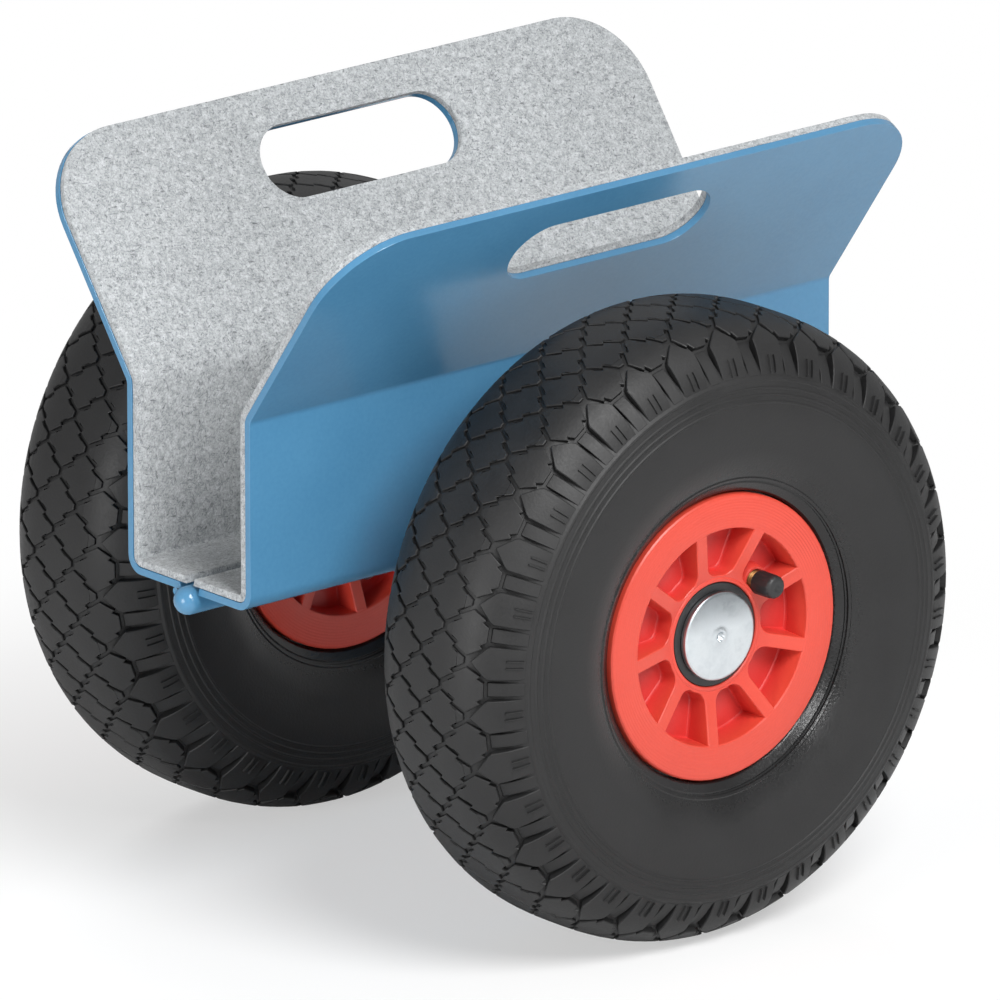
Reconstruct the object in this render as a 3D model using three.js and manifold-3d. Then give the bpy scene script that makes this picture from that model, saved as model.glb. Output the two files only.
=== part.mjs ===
// Sheet goods cart: two felt-lined jaws hinged along the bottom of a channel, each on its own stub axle
// and pneumatic wheel. Millimetres, +Z up, +X along the channel, origin on the floor between the wheels.
// The left side is +Y. The right side is the left side turned half a turn about Z.

import * as THREE from "three";
import { mergeGeometries, mergeVertices } from "three/addons/utils/BufferGeometryUtils.js";
import Module from "manifold-3d";

const wasm = await Module();
wasm.setup();

// Driving dimensions: clearances
const WELD_GAP = 0.2;
const GLUE_GAP = 0.2;
const FIT = 0.3;

// Driving dimensions: tyre and inner tube
const TYRE_DIAMETER = 260;
const TYRE_WIDTH = 84;
const TYRE_WALL = 5;
const TREAD_THICKNESS = 10;
const SHOULDER_HEIGHT = 38;
const CROWN_FLATNESS = 3.4;
const SHOULDER_FULLNESS = 1.8;
const BEAD_WIDTH = 11;
const BEAD_HEIGHT = 6;
const TUBE_WALL = 2;
const TUBE_GAP = 0.8;
const TUBE_TAPER = 1.3;

// Driving dimensions: tread, measured round the tyre, across it from the crown and into it
const LUG_COUNT = 34;
const TREAD_ROW = 12.2;
const END_REACH = 7.6;
const LUG_LENGTH = 17;
const GROOVE_WIDTH = 2;
const GROOVE_DEPTH = 3.6;
const FACET_WIDTH = 8;
const FACET_SINK = 2.6;
const TREAD_PHASE = 32.9;

// Driving dimensions: rim
const WHEEL_TRACK = 228;
const BEAD_DIAMETER = 101.6;
const FLANGE_DIAMETER = 118;
const FLANGE_THICKNESS = 5;
const FLANGE_ROUND = 1.5;
const RIM_WIDTH = 69;
const BARREL_WALL = 5;
const FACE_WIDTH = 15.5;
const FACE_DISH = 0.5;
const HUB_DIAMETER = 47;
const HUB_RECESS = 5.5;
const POCKET_DEPTH = 11;
const FLOOR_THICKNESS = 4;
const SPOKE_COUNT = 9;
const SPOKE_WIDTH = 4;
const SPOKE_FILLET = 4;
const SPOKE_PHASE = -4.1;

// Driving dimensions: rim screws
const SCREW_COUNT = 3;
const SCREW_CIRCLE = 68;
const SCREW_DIAMETER = 6;
const SCREW_HEAD_DIAMETER = 10;
const SCREW_HEAD_HEIGHT = 4;
const SCREW_REACH = 13;
const BOSS_DIAMETER = 12;
const FIRST_BOSS_POCKET = 1;

// Driving dimensions: bushes, axle and its cap
const AXLE_DIAMETER = 20;
const AXLE_INSET = 4;
const BUSH_DIAMETER = 32;
const BUSH_LENGTH = 22;
const BUSH_FLANGE_DIAMETER = 42.6;
const BUSH_FLANGE_THICKNESS = 3;
const BUSH_RECESS_DEPTH = 8;
const CAP_DIAMETER = 36.6;
const CAP_THICKNESS = 2.5;
const CAP_SLEEVE_WALL = 2.6;
const CAP_SLEEVE_LENGTH = 6;
const SPACER_DIAMETER = 30;
const SPACER_LENGTH = 14;

// Driving dimensions: valve
const VALVE_ANGLE = 144.5;
const VALVE_CIRCLE = 58.4;
const VALVE_OFFSET = 8;
const VALVE_BEND = 7;
const STEM_DIAMETER = 7.6;
const STEM_PROUD = 0.8;
const VALVE_CAP_DIAMETER = 10.2;
const VALVE_CAP_LENGTH = 10.8;
const VALVE_CAP_END = 4;

// Driving dimensions: axle carrier
const CARRIER_SIZE = 30;
const CARRIER_CORNER = 3;
const CARRIER_CLEARANCE = 1;

// Driving dimensions: jaws
const JAW_LENGTH = 306.5;
const CHANNEL_WIDTH = 76;
const WALL_HEIGHT = 79.3;
const WING_LENGTH = 103;
const WING_TILT = 35.5;
const WING_CORNER = 35;
const SHEET = 3;
const BEND_RADIUS = 4.6;
const SLOT_LENGTH = 103;
const SLOT_HEIGHT = 32;
const SLOT_CENTRE = 70.5;
const FELT = 3;
const SEAM_ANGLE = 16.5;

// Driving dimensions: hinge
const KNUCKLE_DIAMETER = 11.8;
const KNUCKLE_LENGTH = 40;
const KNUCKLE_PROUD = 0.5;
const PIN_DIAMETER = 7.6;
const PIN_LENGTH = 66;
const PIN_SOCKET = 34;

// Facets
const WHEEL_FACETS = 28;
const AXLE_FACETS = 20;
const SMALL_FACETS = 14;
const CURVE_FACETS = 6;
const POCKET_FACETS = 1;
const BEND_FACETS = 4;
const DOME_FACETS = 4;
const SECTION_FACETS = 90;
const TUBE_FACETS = 2;
const STEM_FACETS = 4;
const STEM_STEPS = 10;

// Worked-out places
const TYRE_R = TYRE_DIAMETER / 2;
const PITCH = (2 * Math.PI * TYRE_R) / LUG_COUNT;
const HALF_PITCH = PITCH / 2;
const ROW_END = 2 * TREAD_ROW + END_REACH;
const LUG_END = ROW_END + LUG_LENGTH;
const CORNER_INSET = GROOVE_WIDTH * Math.SQRT1_2;
const AXLE_HEIGHT = TYRE_R;
const WHEEL_Y = WHEEL_TRACK / 2;
const RIM_HALF = RIM_WIDTH / 2;
const BEAD_R = BEAD_DIAMETER / 2;
const FLANGE_R = FLANGE_DIAMETER / 2;
const HUB_R = HUB_DIAMETER / 2;
const HUB_FACE = RIM_HALF - HUB_RECESS;
const FLOOR_TOP = RIM_HALF - POCKET_DEPTH;
const FLOOR_BOTTOM = FLOOR_TOP - FLOOR_THICKNESS;
const BARREL_R = BEAD_R - BARREL_WALL;
const POCKET_R = FLANGE_R - FACE_WIDTH;
const POCKET_STEP = 360 / SPOKE_COUNT;
const FIRST_POCKET = SPOKE_PHASE + POCKET_STEP / 2;
const AXLE_R = AXLE_DIAMETER / 2;
const FLANGE_Z = AXLE_HEIGHT + CARRIER_SIZE / 2 + WELD_GAP;
const BEND_Z = FLANGE_Z + WALL_HEIGHT;
const WALL_Y = CHANNEL_WIDTH / 2;
const OUTER_BEND = BEND_RADIUS + SHEET;
const TILT = THREE.MathUtils.degToRad(WING_TILT);
const KNUCKLE_R = KNUCKLE_DIAMETER / 2;
const HINGE_DROP = KNUCKLE_R + WELD_GAP - SHEET;
const HINGE_Z = FLANGE_Z - HINGE_DROP;
const FLANGE_EDGE = Math.sqrt((KNUCKLE_R + FIT) ** 2 - HINGE_DROP ** 2);
const HUB_INNER_Y = WHEEL_Y - HUB_FACE;
const CARRIER_END = HUB_INNER_Y - 2 * FIT - SPACER_LENGTH;
const AXLE_END = WHEEL_Y + HUB_FACE + FIT;
const DEPTH_FELT_OUT = SHEET + GLUE_GAP;
const DEPTH_FELT_IN = DEPTH_FELT_OUT + FELT;

// Finishes
function finish(color, roughness, metalness) {
  return new THREE.MeshStandardMaterial({ color, roughness, metalness });
}

const PAINT = finish(0x5590b8, 0.4, 0.0);
const FELT_GREY = finish(0xb5b6b9, 1.0, 0.0);
const RUBBER = finish(0x333334, 0.7, 0.0);
const TUBE_RUBBER = finish(0x1d1d1e, 0.6, 0.0);
const RED_PLASTIC = finish(0xe2402c, 0.45, 0.0);
const BLACK_PLASTIC = finish(0x1b1c1d, 0.5, 0.0);
const ZINC = finish(0xb8bcc0, 0.35, 1.0);
const STEEL = finish(0x8d9094, 0.4, 1.0);
const BRASS = finish(0xb08a45, 0.35, 1.0);

// Closed triangle meshes and their cuts. Points nearer than this are one.

const SAME_POINT = 1e-4;

function closed(geometry) {
  const bare = geometry.clone();
  bare.deleteAttribute("normal");
  bare.deleteAttribute("uv");
  const merged = mergeVertices(bare, SAME_POINT);
  const index = merged.index.array;
  const kept = [];
  for (let i = 0; i < index.length; i += 3) {
    const [a, b, c] = [index[i], index[i + 1], index[i + 2]];
    if (a !== b && b !== c && c !== a) kept.push(a, b, c);
  }
  merged.setIndex(kept);
  return merged;
}

function solidOf(geometry) {
  const mesh = closed(geometry);
  const vertProperties = new Float32Array(mesh.attributes.position.array);
  const triVerts = new Uint32Array(mesh.index.array);
  return new wasm.Manifold(new wasm.Mesh({ numProp: 3, vertProperties, triVerts }));
}

function geometryOf(solid) {
  const mesh = solid.getMesh();
  const geometry = new THREE.BufferGeometry();
  geometry.setAttribute("position", new THREE.BufferAttribute(new Float32Array(mesh.vertProperties), 3));
  geometry.setIndex(new THREE.BufferAttribute(new Uint32Array(mesh.triVerts), 1));
  return geometry;
}

const cut = (geometry, tools) =>
  geometryOf(tools.reduce((solid, tool) => solid.subtract(solidOf(tool)), solidOf(geometry)));
const join = (geometry, pieces) =>
  geometryOf(pieces.reduce((solid, piece) => solid.add(solidOf(piece)), solidOf(geometry)));

// Small makers

const vec2 = (r, y) => new THREE.Vector2(r, y);
const onCircle = (r, degrees) => {
  const a = THREE.MathUtils.degToRad(degrees);
  return vec2(r * Math.cos(a), r * Math.sin(a));
};

// A turned piece about the Y axis. Its profile is listed anticlockwise in the plane of radius and Y.
function turned(profile, facets) {
  return closed(new THREE.LatheGeometry(profile, facets));
}

// A ring whose profile is a loop of radius and Y.
const turnedRing = (loop, facets) => turned([...loop, loop[0]], facets);

function rod(radius, from, to, facets) {
  const profile = [vec2(0, from), vec2(radius, from), vec2(radius, to), vec2(0, to)];
  return turned(profile, facets);
}

function sleeve(inner, outer, from, to, facets) {
  const loop = [vec2(inner, from), vec2(outer, from), vec2(outer, to), vec2(inner, to)];
  return turnedRing(loop, facets);
}

function extruded(shape, depth, basis, origin, curveSegments = CURVE_FACETS) {
  const geometry = new THREE.ExtrudeGeometry(shape, { depth, bevelEnabled: false, curveSegments });
  return geometry.applyMatrix4(new THREE.Matrix4().makeBasis(...basis).setPosition(origin));
}

const X_AXIS = new THREE.Vector3(1, 0, 0);
const Y_AXIS = new THREE.Vector3(0, 1, 0);
const Z_AXIS = new THREE.Vector3(0, 0, 1);

// A prism whose outline lies in the wheel's plane of X and Z, from one Y to another.
function alongAxle(shape, from, to, facets) {
  const basis = [X_AXIS, Z_AXIS, Y_AXIS.clone().negate()];
  return extruded(shape, to - from, basis, new THREE.Vector3(0, to, 0), facets);
}

function discShape(centre, radius) {
  return new THREE.Shape().absarc(centre.x, centre.y, radius, 0, 2 * Math.PI);
}

function bevelledSquare(size, bevel) {
  const h = size / 2;
  const b = h - bevel;
  const side = [vec2(-b, -h), vec2(b, -h)];
  const turns = [0, 1, 2, 3].map((quarter) => (quarter * Math.PI) / 2);
  return new THREE.Shape(turns.flatMap((turn) => side.map((p) => p.clone().rotateAround(vec2(0, 0), turn))));
}

function named(name, geometry, material) {
  const mesh = new THREE.Mesh(geometry, material);
  mesh.name = name;
  return mesh;
}

// Jaw section: a line at some depth inside the outer face, from the hinge to the wing's top edge

function sectionLine(depth, startY) {
  const points = [vec2(startY, FLANGE_Z + depth)];
  const lower = vec2(WALL_Y - OUTER_BEND, FLANGE_Z + OUTER_BEND);
  for (let i = 0; i <= BEND_FACETS; i++) {
    points.push(onCircle(OUTER_BEND - depth, -90 + (90 * i) / BEND_FACETS).add(lower));
  }
  const upper = vec2(WALL_Y + BEND_RADIUS, BEND_Z - BEND_RADIUS * Math.tan(TILT / 2));
  for (let i = 0; i <= BEND_FACETS; i++) {
    points.push(onCircle(BEND_RADIUS + depth, 180 - (WING_TILT * i) / BEND_FACETS).add(upper));
  }
  const topY = WALL_Y + WING_LENGTH * Math.sin(TILT) - depth * Math.cos(TILT);
  const topZ = BEND_Z + WING_LENGTH * Math.cos(TILT) + depth * Math.sin(TILT);
  points.push(vec2(topY, topZ));
  return points;
}

// What is cut out of the wing: the hand slot and the two round corners

function wingCuts() {
  const slot = new THREE.Shape();
  const r = SLOT_HEIGHT / 2;
  const straight = SLOT_LENGTH / 2 - r;
  slot.absarc(straight, SLOT_CENTRE, r, -Math.PI / 2, Math.PI / 2);
  slot.absarc(-straight, SLOT_CENTRE, r, Math.PI / 2, 1.5 * Math.PI);
  const x = JAW_LENGTH / 2;
  const corners = [1, -1].map((end) => {
    const corner = new THREE.Shape();
    const inner = vec2(x - WING_CORNER, WING_LENGTH - WING_CORNER);
    corner.absarc(end * inner.x, inner.y, WING_CORNER, end > 0 ? 0 : Math.PI, Math.PI / 2, end < 0);
    corner.lineTo(end * inner.x, WING_LENGTH + WING_CORNER);
    corner.lineTo(end * (x + WING_CORNER), WING_LENGTH + WING_CORNER);
    corner.lineTo(end * (x + WING_CORNER), inner.y);
    return corner;
  });
  const along = new THREE.Vector3(0, Math.sin(TILT), Math.cos(TILT));
  const inward = new THREE.Vector3(0, -Math.cos(TILT), Math.sin(TILT));
  const reach = 2 * DEPTH_FELT_IN;
  const origin = new THREE.Vector3(0, WALL_Y, BEND_Z).addScaledVector(inward, -reach / 2);
  return [slot, ...corners].map((shape) => extruded(shape, 2 * reach, [X_AXIS, along, inward], origin));
}

function bentSheet(outerDepth, innerDepth, outerStart, innerStart) {
  const outer = sectionLine(outerDepth, outerStart);
  const inner = sectionLine(innerDepth, innerStart).reverse();
  const shape = new THREE.Shape([...outer, ...inner]);
  const origin = new THREE.Vector3(-JAW_LENGTH / 2, 0, 0);
  const strip = extruded(shape, JAW_LENGTH, [Y_AXIS, Z_AXIS, X_AXIS], origin);
  return cut(strip, wingCuts());
}

const jaw = () => bentSheet(0, SHEET, FLANGE_EDGE, FLANGE_EDGE);

// The felt reaches over the hinge. Its edge there is cut along a line through the hinge axis, so that
// the two linings close without meeting.
function felt() {
  const seam = (depth) => (HINGE_DROP + depth) * Math.tan(THREE.MathUtils.degToRad(SEAM_ANGLE));
  return bentSheet(DEPTH_FELT_OUT, DEPTH_FELT_IN, seam(DEPTH_FELT_OUT), seam(DEPTH_FELT_IN));
}

// Axle carrier: a square tube along Y, welded under the flange

function axleCarrier() {
  const shape = bevelledSquare(CARRIER_SIZE, CARRIER_CORNER);
  shape.holes.push(new THREE.Path().absarc(0, 0, AXLE_R + FIT, 0, 2 * Math.PI, true));
  return alongAxle(shape, CARRIER_CLEARANCE, CARRIER_END, AXLE_FACETS / 2).translate(0, 0, AXLE_HEIGHT);
}

// The cap is a disc with a sleeve that grips the axle's end inside the bush's recess.
function axleCap() {
  const grip = AXLE_R + FIT;
  const face = AXLE_END + FIT;
  const profile = [
    vec2(0, face),
    vec2(grip, face),
    vec2(grip, AXLE_END - CAP_SLEEVE_LENGTH),
    vec2(grip + CAP_SLEEVE_WALL, AXLE_END - CAP_SLEEVE_LENGTH),
    vec2(grip + CAP_SLEEVE_WALL, AXLE_END),
    vec2(CAP_DIAMETER / 2, AXLE_END),
    vec2(CAP_DIAMETER / 2, AXLE_END + CAP_THICKNESS / 2),
    vec2(CAP_DIAMETER / 2 - CAP_THICKNESS / 2, AXLE_END + CAP_THICKNESS),
    vec2(0, AXLE_END + CAP_THICKNESS),
  ];
  return turned(profile, AXLE_FACETS);
}

// Hinge knuckle along X, open face at zero, domed end at negative X

function knuckle() {
  const bore = PIN_DIAMETER / 2 + FIT;
  const profile = [vec2(0, -PIN_SOCKET), vec2(bore, -PIN_SOCKET), vec2(bore, 0), vec2(KNUCKLE_R, 0)];
  for (let i = 0; i <= DOME_FACETS; i++) {
    const dome = onCircle(KNUCKLE_R, (-90 * i) / DOME_FACETS);
    profile.push(vec2(i === DOME_FACETS ? 0 : dome.x, dome.y - KNUCKLE_LENGTH));
  }
  const geometry = turned(profile.reverse(), SMALL_FACETS);
  return geometry.rotateZ(-Math.PI / 2);
}

// Wheel, in its own frame: the axle is Y, +Y points away from the cart, the origin is on the middle plane

// Half of a rounded section: the share runs from the crown, 0, to the widest point, 1.
function lobe(share, halfWidth, height, flatness, fullness) {
  const a = (share * Math.PI) / 2;
  const y = halfWidth * Math.sin(a) ** (2 / flatness);
  const rise = height * Math.max(Math.cos(a), 0) ** (2 / fullness);
  return vec2(rise, y);
}

const WIDEST_R = TYRE_R - SHOULDER_HEIGHT;
const mirrored = (half) => half.map((p) => vec2(p.x, -p.y)).reverse();

function tyreSide(inset, treadInset, steps) {
  const points = [];
  for (let i = 0; i <= steps; i++) {
    const rise = SHOULDER_HEIGHT - treadInset;
    const p = lobe(i / steps, TYRE_WIDTH / 2 - inset, rise, CROWN_FLATNESS, SHOULDER_FULLNESS);
    points.push(vec2(WIDEST_R + p.x, p.y));
  }
  return points;
}

// Tread, laid out flat: a point gives its place along the tyre, across it from the crown, and its depth.
// Patches are listed anticlockwise with along to the right and across upwards.

const SECTION = new THREE.SplineCurve(tyreSide(0, 0, SECTION_FACETS));
const SECTION_END = SECTION.getLength();
const raised = (along, across) => [along, across, 0];
const sunk = (along, across) => [along, across, GROOVE_DEPTH];

function onTyre([along, across, depth]) {
  const share = Math.min(Math.abs(across) / SECTION_END, 1);
  const skin = SECTION.getPointAt(share);
  const run = SECTION.getTangentAt(share);
  const p = onCircle(skin.x - depth * run.y, TREAD_PHASE + THREE.MathUtils.radToDeg(along / TYRE_R));
  return new THREE.Vector3(p.x, Math.sign(across) * (skin.y + depth * run.x), p.y);
}

// A block's top, and the slopes from it to the floor of the grooves round it.
function blockPatches(top, floor) {
  const slopes = top.map((p, k) => {
    const next = (k + 1) % top.length;
    return [p, floor[k], floor[next], top[next]];
  });
  return [top, ...slopes];
}

function diamond(along, across) {
  const corners = (make, x, s) => [
    make(along + x, across),
    make(along, across + s),
    make(along - x, across),
    make(along, across - s),
  ];
  const top = corners(raised, HALF_PITCH - CORNER_INSET, TREAD_ROW - CORNER_INSET);
  return blockPatches(top, corners(sunk, HALF_PITCH, TREAD_ROW));
}

// The outer row's diamond, cut off before the shoulder.
function endBlock() {
  const row = 2 * TREAD_ROW;
  const tip = HALF_PITCH * (1 - END_REACH / TREAD_ROW) - CORNER_INSET;
  const corners = (make, x, tipX, tipS, foot) => [
    make(x, row),
    make(tipX, tipS),
    make(-tipX, tipS),
    make(-x, row),
    make(0, foot),
  ];
  const top = corners(raised, HALF_PITCH - CORNER_INSET, tip, ROW_END, TREAD_ROW + CORNER_INSET);
  const line = ROW_END + GROOVE_WIDTH / 2;
  return blockPatches(top, corners(sunk, HALF_PITCH, FACET_WIDTH / 2, line, TREAD_ROW));
}

// One pitch of the shoulder down to the widest ring: a wide lug and the sunk facet before it.
function shoulder() {
  const line = ROW_END + GROOVE_WIDTH / 2;
  const middle = (line + LUG_END) / 2;
  const gap = FACET_WIDTH / 2;
  const edge = gap + GROOVE_WIDTH / 2;
  const facet = gap - GROOVE_WIDTH / 2;
  const pair = (make, along, across) => [make(along, across), make(PITCH - along, across)];
  const [valley, nextValley] = pair(sunk, gap, line);
  const [flank, nextFlank] = pair(raised, edge, line);
  const [side, nextSide] = pair(raised, edge, middle);
  const [end, nextEnd] = pair(raised, gap, LUG_END);
  const [farValley, farEnd] = [sunk(-gap, line), raised(-gap, LUG_END)];
  const [inner, farInner] = [facet, -facet].map((along) => [along, ROW_END + GROOVE_WIDTH, FACET_SINK]);
  const [wide, farWide] = [HALF_PITCH, -HALF_PITCH].map((along) => raised(along, SECTION_END));
  const tip = raised(HALF_PITCH, 2 * TREAD_ROW + CORNER_INSET);
  const root = sunk(HALF_PITCH, 2 * TREAD_ROW);
  const lug = [
    [tip, nextFlank, flank],
    [flank, nextFlank, nextSide, side],
    [side, nextSide, nextEnd, end],
    [root, nextValley, nextFlank, tip],
    [nextFlank, nextValley, nextEnd, nextSide],
    [side, end, valley, flank],
    [flank, valley, root, tip],
  ];
  const sunkFacet = [
    [farInner, inner, end, farEnd],
    [farValley, valley, inner, farInner],
    [inner, valley, end],
    [farEnd, farValley, farInner],
  ];
  const wall = [
    [end, nextEnd, wide],
    [farEnd, end, wide, farWide],
  ];
  return [...lug, ...sunkFacet, ...wall];
}

function treadSkin() {
  const oneSide = [...diamond(HALF_PITCH, TREAD_ROW), ...endBlock(), ...shoulder()];
  const otherSide = oneSide.map((patch) => patch.map(([x, s, depth]) => [x, -s, depth]).reverse());
  const pitch = [...diamond(0, 0), ...oneSide, ...otherSide];
  const points = [];
  for (let k = 0; k < LUG_COUNT; k++) {
    for (const patch of pitch) {
      const placed = patch.map(([x, s, depth]) => onTyre([x + k * PITCH, s, depth]));
      for (let i = 2; i < placed.length; i++) points.push(placed[0], placed[i], placed[i - 1]);
    }
  }
  return new THREE.BufferGeometry().setFromPoints(points);
}

// Below its widest rings the tyre is turned, with as many flats as lugs. The flats keep the gaps to the
// rim and the tube.
function tyre() {
  const beadOut = RIM_HALF - FLANGE_THICKNESS - FIT;
  const seat = BEAD_R + FIT;
  const side = TYRE_WIDTH / 2;
  const lower = vec2(FLANGE_R + FIT + FLANGE_ROUND, RIM_HALF - FLANGE_ROUND);
  const half = [
    vec2((WIDEST_R + lower.x) / 2, (2 * side + lower.y) / 3),
    lower,
    vec2(FLANGE_R + FIT, beadOut),
    vec2(seat, beadOut),
    vec2(seat, beadOut - BEAD_WIDTH),
    vec2(seat + BEAD_HEIGHT, beadOut - BEAD_WIDTH),
    ...tyreSide(TYRE_WALL, TREAD_THICKNESS, TUBE_FACETS).reverse(),
  ].map((p) => vec2(p.x / Math.cos(Math.PI / LUG_COUNT), p.y));
  const [widest, otherWidest] = [vec2(WIDEST_R, side), vec2(WIDEST_R, -side)];
  const profile = [widest, ...half, ...mirrored(half.slice(0, -1)), otherWidest];
  const start = Math.PI / 2 - THREE.MathUtils.degToRad(TREAD_PHASE) - Math.PI / LUG_COUNT;
  const inside = new THREE.LatheGeometry(profile, LUG_COUNT, start).toNonIndexed();
  inside.deleteAttribute("normal");
  inside.deleteAttribute("uv");
  return closed(mergeGeometries([treadSkin(), inside]));
}

// The tube fills the tyre down to the rim and narrows between the beads.
function tubeSkin(inset) {
  const width = TYRE_WIDTH / 2 - TYRE_WALL - TUBE_GAP - inset;
  const up = SHOULDER_HEIGHT - TREAD_THICKNESS - TUBE_GAP - inset;
  const down = WIDEST_R - BEAD_R - TUBE_GAP - inset;
  const half = [];
  for (let i = 0; i < TUBE_FACETS; i++) {
    const p = lobe(i / TUBE_FACETS, width, up, CROWN_FLATNESS, SHOULDER_FULLNESS);
    half.push(vec2(WIDEST_R + p.x, p.y));
  }
  for (let i = TUBE_FACETS; i >= 0; i--) {
    const p = lobe(i / TUBE_FACETS, width, down, TUBE_TAPER, TUBE_TAPER);
    half.push(vec2(WIDEST_R - p.x, p.y));
  }
  const right = half.slice(1, -1);
  return turnedRing([half[0], ...right, half.at(-1), ...mirrored(right)], WHEEL_FACETS);
}

const valvePoint = (r, y) => {
  const p = onCircle(r, VALVE_ANGLE);
  return new THREE.Vector3(p.x, y, p.y);
};

// A straight round tool along the radius at the valve's place.
function valveDrill(radius, fromR, toR) {
  const path = new THREE.LineCurve3(valvePoint(fromR, VALVE_OFFSET), valvePoint(toR, VALVE_OFFSET));
  const shape = discShape(vec2(0, 0), radius);
  return new THREE.ExtrudeGeometry(shape, { steps: 1, extrudePath: path, curveSegments: CURVE_FACETS });
}

function innerTube() {
  const hole = valveDrill(STEM_DIAMETER / 2 + FIT, BEAD_R, WIDEST_R);
  return cut(tubeSkin(0), [tubeSkin(TUBE_WALL), hole]);
}

// One pocket between two spokes, as an outline about the pocket's middle angle.
function pocketShape(middle) {
  const inner = HUB_R + FIT;
  const edge = (r) => POCKET_STEP / 2 - THREE.MathUtils.radToDeg(Math.asin(SPOKE_WIDTH / 2 / r));
  const at = (r, offset) => onCircle(r, middle + offset);
  const rad = THREE.MathUtils.degToRad;
  const shape = new THREE.Shape();
  const outerStart = at(POCKET_R, -edge(POCKET_R));
  shape.moveTo(outerStart.x, outerStart.y);
  shape.absarc(0, 0, POCKET_R, rad(middle - edge(POCKET_R)), rad(middle + edge(POCKET_R)));
  for (const side of [1, -1]) {
    const shoulder = at(inner + SPOKE_FILLET, side * edge(inner + SPOKE_FILLET));
    const corner = at(inner, side * edge(inner));
    const foot = at(inner, (side * edge(inner)) / 3);
    const [first, last] = side > 0 ? [shoulder, foot] : [foot, shoulder];
    shape.lineTo(first.x, first.y);
    shape.quadraticCurveTo(corner.x, corner.y, last.x, last.y);
  }
  return shape;
}

// One rim half, with its face towards +Y. The turn is 1, or -1 for the half that is flipped over X later.
function rimHalf(turn, hasValve) {
  const split = FIT / 2;
  const lip = RIM_HALF - FLANGE_THICKNESS;
  const bore = BUSH_DIAMETER / 2 + FIT;
  const recess = BUSH_FLANGE_DIAMETER / 2 + FIT;
  const recessFloor = HUB_FACE - BUSH_FLANGE_THICKNESS - FIT;
  const profile = [
    vec2(bore, split),
    vec2(HUB_R, split),
    vec2(HUB_R, FLOOR_BOTTOM),
    vec2(BARREL_R, FLOOR_BOTTOM),
    vec2(BARREL_R, split),
    vec2(BEAD_R, split),
    vec2(BEAD_R, lip),
    vec2(FLANGE_R, lip),
    vec2(FLANGE_R, RIM_HALF - FLANGE_ROUND),
    vec2(FLANGE_R - FLANGE_ROUND, RIM_HALF),
    vec2(POCKET_R, RIM_HALF - FACE_DISH),
    vec2(HUB_R, HUB_FACE),
    vec2(recess, HUB_FACE),
    vec2(recess, recessFloor),
    vec2(bore, recessFloor),
  ];
  const middles = Array.from({ length: SPOKE_COUNT }, (_, k) => turn * (FIRST_POCKET + k * POCKET_STEP));
  const pocketTop = RIM_HALF + POCKET_DEPTH;
  const bossTop = FLOOR_TOP - FLOOR_THICKNESS / 2;
  const bosses = screwAngles().map((angle) => onCircle(SCREW_CIRCLE / 2, turn * angle));
  const posts = bosses.map((p) => alongAxle(discShape(p, BOSS_DIAMETER / 2), split, bossTop));
  const drillTo = hasValve ? SCREW_REACH + FIT : RIM_HALF;
  const tools = middles.map((middle) => alongAxle(pocketShape(middle), FLOOR_TOP, pocketTop, POCKET_FACETS));
  tools.push(...bosses.map((p) => alongAxle(discShape(p, SCREW_DIAMETER / 2 + FIT), 0, drillTo)));
  if (hasValve) {
    const exit = onCircle(VALVE_CIRCLE / 2, VALVE_ANGLE);
    tools.push(alongAxle(discShape(exit, STEM_DIAMETER / 2 + FIT), FLOOR_BOTTOM - FIT, FLOOR_TOP + FIT));
    tools.push(alongAxle(discShape(exit, VALVE_CAP_DIAMETER / 2 + FIT), FLOOR_TOP, pocketTop));
    tools.push(valveDrill(STEM_DIAMETER / 2 + FIT, HUB_R + FIT, FLANGE_R));
  }
  return cut(join(turnedRing(profile, WHEEL_FACETS), posts), tools);
}

// The screws sit in every third pocket, clear of the valve's pocket.
function screwAngles() {
  const step = SPOKE_COUNT / SCREW_COUNT;
  return Array.from({ length: SCREW_COUNT }, (_, k) => {
    const pocket = FIRST_BOSS_POCKET + Math.round(k * step);
    return FIRST_POCKET + pocket * POCKET_STEP;
  });
}

function rimScrew() {
  const seat = -FLOOR_TOP - FIT;
  const profile = [
    vec2(0, seat - SCREW_HEAD_HEIGHT),
    vec2(SCREW_HEAD_DIAMETER / 2, seat - SCREW_HEAD_HEIGHT),
    vec2(SCREW_HEAD_DIAMETER / 2, seat),
    vec2(SCREW_DIAMETER / 2, seat),
    vec2(SCREW_DIAMETER / 2, SCREW_REACH),
    vec2(0, SCREW_REACH),
  ];
  return turned(profile, SMALL_FACETS);
}

// Flanged bush with its flange towards +Y and a recess there for the cap's sleeve.
function bush() {
  const top = HUB_FACE;
  const under = top - BUSH_FLANGE_THICKNESS;
  const bore = AXLE_R + FIT;
  const recess = AXLE_R + FIT + CAP_SLEEVE_WALL + FIT;
  const loop = [
    vec2(bore, top - BUSH_LENGTH),
    vec2(BUSH_DIAMETER / 2, top - BUSH_LENGTH),
    vec2(BUSH_DIAMETER / 2, under),
    vec2(BUSH_FLANGE_DIAMETER / 2, under),
    vec2(BUSH_FLANGE_DIAMETER / 2, top),
    vec2(recess, top),
    vec2(recess, top - BUSH_RECESS_DEPTH),
    vec2(bore, top - BUSH_RECESS_DEPTH),
  ];
  return turnedRing(loop, AXLE_FACETS);
}

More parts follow.
